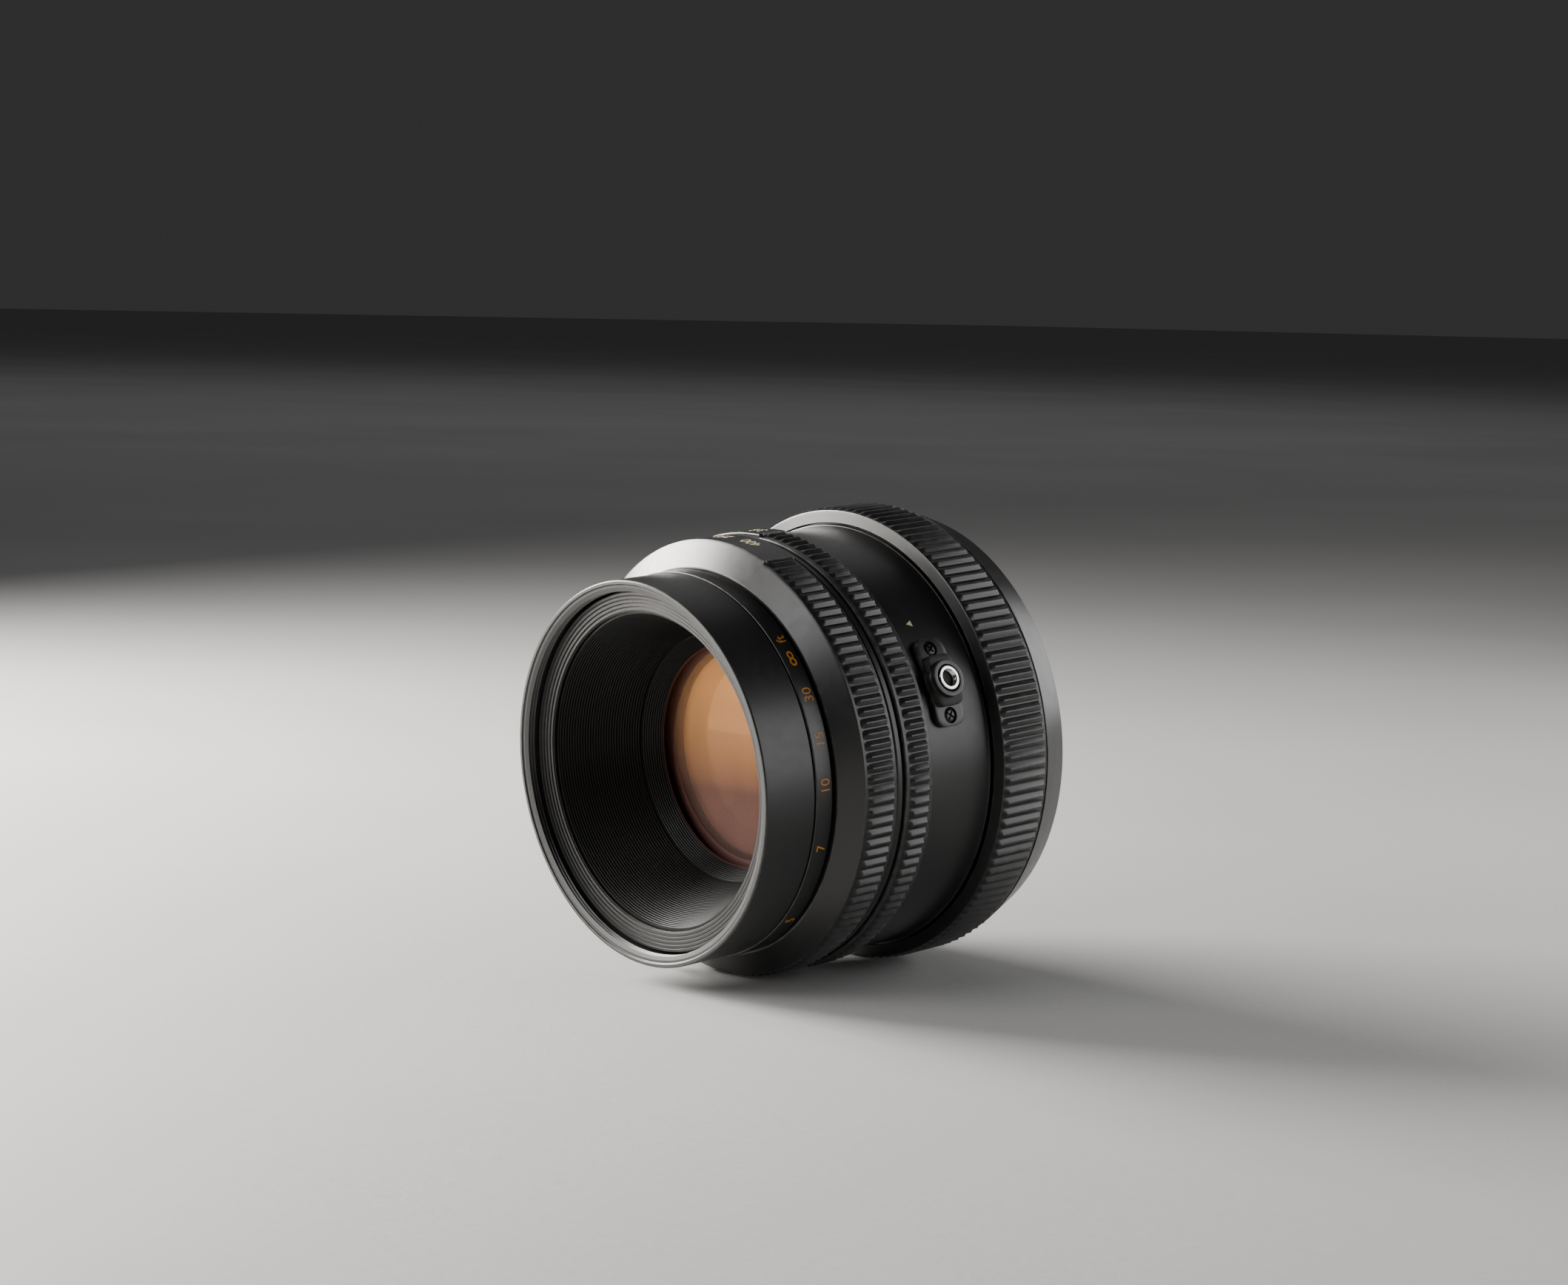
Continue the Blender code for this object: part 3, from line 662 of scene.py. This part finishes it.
def supported(rows):
    """Rows with two more near the ends of each long plain stretch, so that edge wear stays on the edges."""
    long_stretch, support = 1.5, 0.3
    result = []
    for near, far in zip(rows, rows[1:] + rows[:1]):
        result.append(near)
        (s0, r0), (s1, r1) = near[1], far[1]
        length = ((s1 - s0) ** 2 + (r1 - r0) ** 2) ** 0.5
        if length > long_stretch and near[0][2] == far[0][2] == 0.0:
            for t in (support / length, 1 - support / length):
                result.append(tuple(tuple(a + (b - a) * t for a, b in zip(first, last))
                                    for first, last in zip(near, far)))
    return result


def gripped(name, node, rows, columns):
    """A ring with a ridged grip.

    Each row is (distance, radius, crest share, plan share) for the ridges, and (distance, radius) for the
    plain band. The plan share narrows the foot of the ridges, which rounds their ends.
    """
    points, loops = [], []
    for (distance, radius, crest, plan), band in supported(rows):
        loops.append(range(len(points), len(points) + len(columns)))
        for angle, offset, height, plain in columns:
            if plain:
                points.append(at(band[0], band[1], angle))
            else:
                share = plan if height < 0.5 else min(1.0, plan * 2.0)
                points.append(at(distance, radius + RIDGE_HEIGHT * crest * height, angle + offset * share))
    return piece(name, points, grid_faces(loops, True), node, sharp=12.0)


def ridge_rows(land, start, end, ramp_in, ramp_out, band_radius=None):
    """Rows over a ridge from its rounded front end to its steeper rear end.

    The two lists are (place in the ramp, crest share, plan share).
    """
    starts = [(0.0, 0.0, 0.3), (0.03, 0.02, 0.55), (0.12, 0.11, 0.78), (0.3, 0.28, 0.92), (0.6, 0.58, 1.0),
              (0.94, 0.95, 1.0), (1.04, 1.0, 1.0)]
    ends = [(-1.1, 1.0, 1.0), (-0.9, 0.93, 1.0), (-0.35, 0.4, 0.97), (-0.12, 0.16, 0.88), (-0.03, 0.03, 0.72),
            (0.0, 0.0, 0.5)]
    rows = [(start + ramp_in * along, land, crest, plan) for along, crest, plan in starts]
    rows += [(end + ramp_out * along, land, crest, plan) for along, crest, plan in ends]
    return [(row, (row[0], band_radius or land)) for row in rows]


def both(*rows):
    """Rows that are the same on the ridges and on the band."""
    return [((*row, 0.0, 1.0), row) for row in rows]


def speed_ring():
    """The shutter speed ring: a cone, a ridged grip and a plain band for the numbers."""
    first, last = 22.0, 262.0
    crest = SPEED_LAND + RIDGE_HEIGHT
    rows = both((19.6, 39.4), (18.65, 39.4), (18.5, 39.55), (18.5, 41.45), (18.56, 41.68))
    rows += [((21.72, 46.45, 0, 1), (22.05, 46.97)), ((21.86, 46.6, 0, 1), (22.2, 47.13)),
             ((22.02, SPEED_LAND, 0, 1), (22.36, crest))]
    rows += ridge_rows(SPEED_LAND, 22.42, 29.8, 1.2, 0.45, crest)
    rows += [((30.3, SPEED_LAND, 0, 1), (30.3, crest)),
             ((30.45, SPEED_LAND - 0.05, 0, 1), (30.45, crest - 0.05)),
             ((30.5, SPEED_LAND - 0.18, 0, 1), (30.5, crest - 0.18))]
    rows += both((30.5, RING_BORE), (21.0, RING_BORE), (19.6, 41.8))
    gripped("speed_grip", "speed_ring", rows, ridge_columns(SETTING_RIDGES, first, last))


def aperture_ring():
    """The aperture ring: a ridged grip and a plain band for the numbers."""
    first, last = 4.4, 244.4
    crest = APERTURE_LAND + RIDGE_HEIGHT
    rows = both((32.9, RING_BORE))
    rows += [((32.9, 46.55, 0, 1), (32.9, crest - 0.3)), ((32.96, 46.75, 0, 1), (32.97, crest - 0.1)),
             ((33.15, APERTURE_LAND, 0, 1), (33.15, crest))]
    rows += ridge_rows(APERTURE_LAND, 33.85, 39.45, 1.15, 0.45, crest)
    rows += [((40.2, APERTURE_LAND, 0, 1), (40.2, crest)), ((40.35, 46.83, 0, 1), (40.35, crest - 0.06)),
             ((40.4, 46.68, 0, 1), (40.4, crest - 0.2))]
    rows += both((40.4, RING_BORE))
    gripped("aperture_grip", "aperture_ring", rows, ridge_columns(SETTING_RIDGES, first, last))


def arc_solid(name, node, section, first, last, look):
    """A piece of a ring between two angles."""
    outline, spans = softened(section, 0.3), 24
    points = [at(distance, radius, first + (last - first) * k / spans)
              for k in range(spans + 1) for distance, radius in outline]
    return piece(name, points, lofted_faces(points, len(outline)), node, look, replace=False)


def bayonet_ring():
    """The breech-lock ring with a slightly conical front face, and the three lugs inside it."""
    pitch, lug_reach = 360.0 / BAYONET_RIDGES, 25.0
    land = BAYONET_LAND
    rows = both((59.5, 44.4), (59.5, 46.8), (58.25, 46.8), (58.1, 46.95), (58.58, 49.2), (58.62, 49.36),
                (58.68, 49.46))
    rows += ridge_rows(land, 58.7, 70.75, 1.3, 0.5)
    rows += both((71.2, land), (71.26, land - 0.03), (71.32, land - 0.28), (71.52, land - 0.28),
                 (71.58, land - 0.03), (71.75, land - 0.02), (75.2, 48.22), (78.85, 46.82), (79.02, 46.68),
                 (LENGTH, 46.5), (LENGTH, 45.55), (78.95, 45.4), (66.0, 45.4), (66.0, 44.4))
    gripped("bayonet_grip", "bayonet_ring", rows,
            ridge_columns(BAYONET_RIDGES, -pitch / 2, 360.0 - pitch / 2))
    lug = [(76.6, 41.8), (76.6, 45.9), (78.6, 45.9), (78.6, 41.8)]
    for k, angle in enumerate((0.0, 120.0, 240.0)):
        arc_solid(f"bayonet_lug_{k + 1}", "bayonet_ring", lug, angle - lug_reach, angle + lug_reach,
                  RING_BLACK)


# ---- rear barrel and mount

def rear_barrel():
    """The barrel behind the rings, which flares in a cove to the bayonet ring."""
    cove_start, cove_end, flare, spans = 53.5, 57.5, 46.4, 12
    cove = []
    for k in range(spans + 1):
        turn = radians(90.0 * k / spans)
        cove.append((cove_start + (cove_end - cove_start) * sin(turn),
                     BARREL_RADIUS + (flare - BARREL_RADIUS) * (1.0 - cos(turn))))
    section = [
        (40.7, 42.2), (40.7, 45.6), (40.9, BARREL_RADIUS), *cove, (57.8, flare), (57.8, 44.0), (70.2, 44.0),
        (70.2, 39.6), (55.0, 39.6), (53.0, 41.5), (44.0, 41.5), (44.0, 42.2),
    ]
    turned("rear_tube", "rear_barrel", section, soft=0.08)


def circle(radius, steps, centre_radius=0.0, angle=0.0):
    """(x, z) points round a circle whose centre may lie off the axis."""
    x, z = centre_radius * sin(radians(angle)), centre_radius * cos(radians(angle))
    turns = [2 * pi * k / steps for k in range(steps)]
    return [(x + radius * sin(turn), z + radius * cos(turn)) for turn in turns]


def arc_slot(radius, half_width, first, last, steps=40, tip=12):
    """(x, z) points round a slot that follows a circle and has round ends."""
    outline = []
    for edge, start, end in ((half_width, first, last), (-half_width, last, first)):
        for k in range(steps + 1):
            angle = radians(start + (end - start) * k / steps)
            outline.append(((radius + edge) * sin(angle), (radius + edge) * cos(angle)))
        for k in range(1, tip):
            turn = radians(end + 180.0 * k / tip)
            x, z = radius * sin(radians(end)), radius * cos(radians(end))
            outline.append((x + edge * sin(turn), z + edge * cos(turn)))
    return outline


def flange_plate():
    """The seat that meets the camera, with two curved slots and four screw holes."""
    front, rear, rounding = 70.5, 74.0, 0.18
    slots = [arc_slot(COCKING_RADIUS, 2.3, angle - 62.0, angle + 4.0) for angle in (90.0, 270.0)]
    screws = [circle(1.9, 24, MOUNT_SCREW_RADIUS, angle) for angle in MOUNT_SCREW_ANGLES]
    bm = bmesh.new()
    for loop in (circle(43.6, 180), circle(30.6, 120), *slots, *screws):
        verts = [bm.verts.new((x * MM, FRONT_Y + front * MM, AXIS_Z + z * MM)) for x, z in loop]
        for k, vert in enumerate(verts):
            bm.edges.new((vert, verts[(k + 1) % len(verts)]))
    bmesh.ops.triangle_fill(bm, edges=bm.edges, use_beauty=True)
    moved = bmesh.ops.extrude_face_region(bm, geom=list(bm.faces))["geom"]
    lifted = [item for item in moved if isinstance(item, bmesh.types.BMVert)]
    bmesh.ops.translate(bm, verts=lifted, vec=(0.0, (rear - front) * MM, 0.0))
    bm.verts.index_update()
    points = [v.co.copy() for v in bm.verts]
    faces = [[v.index for v in face.verts] for face in bm.faces]
    bm.free()
    flange = piece("flange_plate", points, faces, "rear_flange")
    bevel = flange.modifiers.new("edge_round", "BEVEL")
    bevel.width = rounding * MM
    bevel.segments = 2


def rear_mount():
    """The flange, the notched rear retaining ring, the cocking pins and the screws of the flange."""
    flange_plate()
    section = [(67.3, 24.5), (67.3, 26.9), (73.5, 26.9), (73.5, 25.6)]
    retainer = turned("rear_retainer", "rear_retaining_ring", section)
    carve(retainer, [wall_box((71.9, 74.0), (24.0, 28.0), angle, 2.4) for angle in (0.0, 180.0)])
    pin = [(69.8, 0.0), (69.8, 1.6), (76.9, 1.6), (77.7, 1.15), (78.0, 0.6), (78.0, 0.0)]
    for k, angle in enumerate((90.0, 270.0)):
        upright(f"cocking_stud_{k + 1}", f"cocking_pin_{k + 1}", pin, COCKING_RADIUS, angle, soft=0.15)
    body = [(66.5, 0.0), (66.5, 0.8), (72.7, 0.8), (72.7, 1.6), (73.3, 1.6), (73.7, 1.1), (73.8, 0.0)]
    for k, angle in enumerate(MOUNT_SCREW_ANGLES):
        screw = upright(f"mount_screw_{k + 1}", f"flange_screw_{k + 1}", body, MOUNT_SCREW_RADIUS, angle)
        turn = 20.0 + 31.0 * k  # each screw stopped at its own turn
        carve(screw, [cross_arm(73.1, MOUNT_SCREW_RADIUS, angle, arm) for arm in (turn, turn + 90.0)])


def block(centre, axes, sizes):
    """A box to cut with, from its centre, three directions and three sizes in millimetres."""
    a, b, c = (axis * size for axis, size in zip(axes, sizes))
    points = [centre + (a * x + b * y + c * z) * MM
              for x in (-0.5, 0.5) for y in (-0.5, 0.5) for z in (-0.5, 0.5)]
    return cutter(points, BOX_FACES)


def wall_box(distances, radii, angle, width):
    """A cutter through a ring's wall."""
    centre = at(sum(distances) / 2, sum(radii) / 2, angle)
    return block(centre, (outward_at(angle), ALONG, around_at(angle)),
                 (radii[1] - radii[0], distances[1] - distances[0], width))


def cross_arm(bottom, radius, angle, turn):
    """One arm of the cross in a screw head that faces the rear."""
    length, depth, width = CROSS_SIZE
    centre = at(bottom + depth / 2, radius, angle)
    return block(centre, (outward_at(turn), ALONG, around_at(turn)), (length, depth, width))


# ---- release socket and flash socket

def between(start, end, count):
    """Points that divide a line into a number of parts, without its ends."""
    return [(start[0] + (end[0] - start[0]) * j / count, start[1] + (end[1] - start[1]) * j / count)
            for j in range(1, count)]


def rounded_rectangle(half_width, half_height, radius, per_corner=8):
    """(u, v) points round a rectangle with round corners."""
    outline = []
    for x, y, start in ((1, 1, 0.0), (-1, 1, 90.0), (-1, -1, 180.0), (1, -1, 270.0)):
        corner = []
        for j in range(per_corner + 1):
            turn = radians(start + 90.0 * j / per_corner)
            corner.append((x * (half_width - radius) + radius * cos(turn),
                           y * (half_height - radius) + radius * sin(turn)))
        if outline:
            outline += between(outline[-1], corner[0], PER_SIDE)
        outline += corner
    return outline + between(outline[-1], outline[0], PER_SIDE)


def lid(loop):
    """Narrow faces across a rounded rectangle, each between two mirrored pairs of its points."""
    last = len(loop) - PER_SIDE
    faces = [(loop[0], loop[1], loop[last - 1], *(loop[k] for k in range(last, len(loop))))]
    for k in range(1, last // 2):
        corners = (loop[k], loop[k + 1], loop[last - k - 1], loop[last - k])
        faces.append(tuple(dict.fromkeys(corners)))
    return [face for face in faces if len(face) > 2]


def pad(name, node, half_u, half_v, corner, levels, look=None, replace=True):
    """A rounded rectangle that follows the barrel: levels are (distance from the axis, inset).

    The last level goes on inwards in smaller loops, and a lid closes the smallest.
    """
    points, loops = [], []
    top, last_inset = levels[-1]
    depth = half_v - last_inset
    inner = [(top, last_inset + depth * share) for share in (0.25, 0.5, 0.75, 0.97)]
    for radius, inset in levels + inner:
        outline = rounded_rectangle(half_u - inset, half_v - inset, max(corner - inset, 0.02))
        loops.append(range(len(points), len(points) + len(outline)))
        for u, v in outline:
            points.append(at(SOCKET_CENTRE + v, radius, SOCKET_ANGLE + u / BARREL_RADIUS * 180.0 / pi))
    faces = grid_faces(loops, False)
    faces += [tuple(loops[0]), *lid(loops[-1])]
    return piece(name, points, faces, node, look, replace)


def release_fittings():
    """The bracket of the cable release: base, block, boss, threaded insert, plunger and two screws."""
    base = pad("socket_base", "release_housing", 9.45, 4.0, 2.6,
               [(45.6, 0.4), (46.0, 0.4), (46.1, 0.0), (46.86, 0.0), (46.96, 0.03), (47.0, 0.1)])
    hole = [(46.15, 0.0), (46.15, 1.75), (48.0, 1.75), (48.0, 0.0)]
    carve(base, [cutter(*revolve(hole, standing_at, 40, (SOCKET_CENTRE, angle))) for angle in SCREW_ANGLES])
    pad("socket_block", "release_housing", 5.3, 3.5, 1.6,
        [(46.6, 0.0), (47.6, 0.0), (48.2, 0.1), (48.35, 0.35)], MATT, replace=False)
    boss = [(46.8, 0.0), (46.8, 4.3), (47.9, 4.12), (48.4, 3.95), (49.3, 3.95), (49.3, 2.95), (47.4, 2.95),
            (47.4, 0.0)]
    standing("socket_boss", "release_housing", boss, SOCKET_CENTRE, SOCKET_ANGLE, ENAMEL, 0.16, replace=False)
    thread = []
    for k in range(5):
        level = 49.2 - 0.36 * k
        thread += [(level, 1.72), (level - 0.18, 1.88)]
    insert = [(47.3, 1.72), (47.3, 2.6), (49.4, 2.6), (49.5, 2.45), (49.5, 1.95), *thread]
    standing("socket_insert", "release_socket", insert, SOCKET_CENTRE, SOCKET_ANGLE, CHROME, 0.03)
    plunger = [(44.5, 0.0), (44.5, 1.2), (47.6, 1.2), (47.85, 0.9), (47.9, 0.0)]
    standing("cable_plunger", "release_plunger", plunger, SOCKET_CENTRE, SOCKET_ANGLE, DARK_STEEL)
    body = [(43.5, 0.0), (43.5, 0.8), (46.2, 0.8), (46.2, 1.5), (46.65, 1.5), (46.95, 1.0), (47.0, 0.0)]
    length, depth, width = CROSS_SIZE
    for k, angle in enumerate(SCREW_ANGLES):
        screw = standing(f"base_screw_{k + 1}", f"release_screw_{k + 1}", body, SOCKET_CENTRE, angle)
        around = around_at(angle)
        arms = []
        for turn in (35.0 + 20.0 * k, 125.0 + 20.0 * k):
            arm = around * cos(radians(turn)) + ALONG * sin(radians(turn))
            side = around * -sin(radians(turn)) + ALONG * cos(radians(turn))
            arms.append(block(at(SOCKET_CENTRE, 46.5 + depth / 2, angle), (arm, side, outward_at(angle)),
                              (length, width, depth)))
        carve(screw, arms)


def flash_fittings():
    """The flash terminal on the far side: collar, insulator and contact."""
    cup = [(45.7, 0.0), (45.7, 3.2), (47.2, 3.2), (47.35, 3.0), (48.8, 3.0), (49.0, 2.8), (49.0, 2.15),
           (48.8, 2.0), (47.2, 2.0), (47.2, 0.0)]
    standing("flash_collar", "sync_socket", cup, *FLASH_PLACE, CHROME, 0.05)
    disc = [(47.0, 0.0), (47.0, 1.95), (47.6, 1.95), (47.6, 0.0)]
    standing("flash_insulator", "sync_socket", disc, *FLASH_PLACE, MATT, replace=False)
    pin = [(47.4, 0.0), (47.4, 0.6), (48.55, 0.6), (48.75, 0.35), (48.8, 0.0)]
    standing("flash_contact", "sync_pin", pin, *FLASH_PLACE, BRASS, 0.05, steps=24)


# ---- printed numbers

def wrapped(name, node, marks, radius, look):
    """Printed marks laid round a cylinder: each is (flat points, faces, angle, distance)."""
    points, faces = [], []
    proud, depth = 0.03, 0.05
    for flat_points, flat_faces, angle, distance in marks:
        base = len(points)
        for x, y, z in flat_points:
            lift = radius + (proud if z > 0 else -depth)
            points.append(at(distance - y, lift, angle - x / radius * 180.0 / pi))
        faces += [[base + index for index in face] for face in flat_faces]
    return piece(name, points, faces, node, look, replace=False, sharp=20.0)


def glyphs(text, height, squeeze=0.86, turned_over=False):
    """Points and faces of a text in the built-in font, centred, in millimetres."""
    size_for_height, thinning = 1.45, 0.006
    curve = bpy.data.curves.new("glyphs", "FONT")
    curve.body = text
    curve.size = height * size_for_height
    curve.extrude = 0.5
    curve.offset = height * -thinning
    curve.resolution_u = 5
    holder = placed("glyphs", curve)
    mesh = bpy.data.meshes.new_from_object(holder.evaluated_get(bpy.context.evaluated_depsgraph_get()))
    bpy.data.objects.remove(holder)
    bpy.data.curves.remove(curve)
    points = [tuple(v.co) for v in mesh.vertices]
    faces = [list(p.vertices) for p in mesh.polygons]
    bpy.data.meshes.remove(mesh)
    if turned_over:
        points = [(y, -x, z) for x, y, z in points]
    xs, ys = [p[0] for p in points], [p[1] for p in points]
    middle = ((min(xs) + max(xs)) / 2, (min(ys) + max(ys)) / 2)
    return [((x - middle[0]) * squeeze, y - middle[1], z) for x, y, z in points], faces


def bar(width, height):
    """Points and faces of a plain printed line."""
    points = [(x * width / 2, y * height / 2, z) for z in (-1, 1) for y in (-1, 1) for x in (-1, 1)]
    return points, BOX_FACES


def triangle(size):
    """Points and faces of a plain printed triangle."""
    corners = [(-size / 2, -size / 2), (size / 2, -size / 2), (0.0, size / 2)]
    points = [(x, y, z) for z in (-1, 1) for x, y in corners]
    return points, [(0, 1, 2), (3, 4, 5), (0, 1, 4, 3), (1, 2, 5, 4), (2, 0, 3, 5)]


def scales():
    """The numbers of the three dials, the index line and the mark beside the socket."""
    feet = [("ft", 45.0), ("8", 51.8), ("30", 63.3), ("15", 76.2), ("10", 89.5), ("7", 108.4), ("5", 136.0)]
    metres = [("m", -115.0), ("8", -108.0), ("10", -98.0), ("5", -85.0), ("3", -70.0), ("2", -49.0),
              ("1.5", -23.0)]
    marks = []
    for text, angle in feet + metres:
        endless = text == "8"  # a wide 8 on its side stands for infinity
        marks.append((*glyphs(text, 2.7 if endless else 2.3, 1.3 if endless else 1.0, endless), angle, 15.6))
    wrapped("distance_numbers", "distance_ring", marks, DISTANCE_RADIUS, ORANGE)

    speeds = ["400", "250", "125", "60", "30", "15", "8", "4", "2", "1"]
    marks = [(*glyphs(text, 2.7), INDEX_ANGLE + CLICK * (1 - k), 26.9) for k, text in enumerate(speeds)]
    wrapped("speed_numbers", "speed_ring", marks, SPEED_LAND + RIDGE_HEIGHT, CREAM)

    stops = ["3.8", "5.6", "8", "11", "16", "22", "32"]
    marks = [(*glyphs(text, 2.7), INDEX_ANGLE - CLICK * k, 36.7) for k, text in enumerate(stops)]
    wrapped("aperture_numbers", "aperture_ring", marks, APERTURE_LAND + RIDGE_HEIGHT, CREAM)

    wrapped("index_mark", "index_ring", [(*bar(0.5, 1.1), INDEX_ANGLE, 31.7)], INDEX_RADIUS, CREAM)
    wrapped("socket_mark", "rear_barrel", [(*triangle(1.5), 50.6, 45.8)], BARREL_RADIUS, CREAM)


# ---- surroundings

def floor():
    """A pale floor on which the lens rests with its speed ring and its bayonet ring."""
    speed_contact, bayonet_contact = 23.6, 59.8  # distances behind the rim of the ridges that touch
    rear = at(bayonet_contact, BAYONET_CREST, 180.0)
    front = at(speed_contact, SPEED_LAND + RIDGE_HEIGHT, 180.0)
    slope = (rear.z - front.z) / (rear.y - front.y)
    half, sink = 30.0, 0.05 * MM  # half its width, and a gap too small to see
    mesh = bpy.data.meshes.new("floor")
    corners = [(-half, -half), (half, -half), (half, half), (-half, half)]
    mesh.from_pydata([(x, y, rear.z + slope * (y - rear.y) - sink) for x, y in corners], [], [(0, 1, 2, 3)])
    look = Shading("floor_paper", (0.47, 0.466, 0.46), 0.6)
    cloud = look.noise(3.0, 4.0)
    fibre = look.noise(900.0, 3.0)
    look.set(look.mix(look.ramp(cloud, 0.3, 0.7), (0.44, 0.436, 0.43), (0.50, 0.496, 0.49)),
             look.ramp(fibre, 0.3, 0.7, 0.5, 0.7), look.bump(fibre, 0.03, 0.2))
    mesh.materials.append(look.material)
    placed("floor", mesh)


def softbox(name, place, target, size, power, colour=(1.0, 1.0, 1.0)):
    """A rectangular lamp that the camera doesn't see; its power is in watts."""
    light = bpy.data.lights.new(name, "AREA")
    light.shape = "RECTANGLE"
    light.size, light.size_y = size
    light.energy = power
    light.color = colour
    obj = placed(name, light)
    obj.location = place
    obj.rotation_euler = (Vector(target) - Vector(place)).to_track_quat("-Z", "Y").to_euler()
    obj.visible_camera = False


def lighting():
    """A strong lamp from the left, weaker ones round the lens, and one on the far floor."""
    centre = (0.0, 0.0, AXIS_Z)
    softbox("left_softbox", (-0.65, -0.20, 0.37), centre, (0.5, 0.3), 24.0, (1.0, 0.97, 0.93))
    softbox("right_softbox", (0.42, 0.50, 0.18), centre, (0.7, 0.4), 2.6)
    softbox("floor_wash", (-2.6, 2.6, 2.4), (-2.6, 2.6, 0.0), (4.0, 3.0), 14.0)
    softbox("rear_softbox", (0.05, 0.75, 0.16), centre, (0.3, 0.3), 1.1)
    softbox("top_front_softbox", (-0.12, -0.66, 0.48), centre, (0.4, 0.3), 2.6)
    softbox("front_card", (-0.25, -0.33, 0.12), (0.0, -0.01, 0.05), (0.40, 0.24), 1.5, (1.0, 0.95, 0.88))
    world = bpy.data.worlds.new("studio")
    world.use_nodes = True
    background = world.node_tree.nodes["Background"]
    background.inputs["Color"].default_value = (0.62, 0.62, 0.64, 1.0)
    background.inputs["Strength"].default_value = 0.055
    bpy.context.scene.world = world


def camera():
    """The camera at the photo's viewing angle: three-quarter front, slightly above the axis."""
    place = (0.552, -0.4773, 0.1828)
    right = Vector((0.6599, 0.7503, -0.0399))
    forward = Vector((-0.7464, 0.6486, -0.1489)).normalized()
    right = (right - forward * right.dot(forward)).normalized()
    up = right.cross(forward)
    data = bpy.data.cameras.new("camera")
    data.lens = 78.66
    data.sensor_width = 36.0
    data.clip_start = 0.01
    obj = placed("camera", data)
    turn = Matrix((right, up, -forward)).transposed()
    obj.matrix_world = Matrix.Translation(place) @ turn.to_4x4()
    bpy.context.scene.camera = obj


# a plain look for the solids that no finer piece replaces, such as the blades
for node_name, node_object in frame["nodes"].items():
    node_object.data.materials.clear()
    node_object.data.materials.append(LOOKS[SLOTS[node_name]])

front_barrel()
filter_steps()
well()
glasses()
plain_rings()
lever()
speed_ring()
aperture_ring()
bayonet_ring()
rear_barrel()
rear_mount()
release_fittings()
flash_fittings()
scales()
floor()
lighting()
camera()
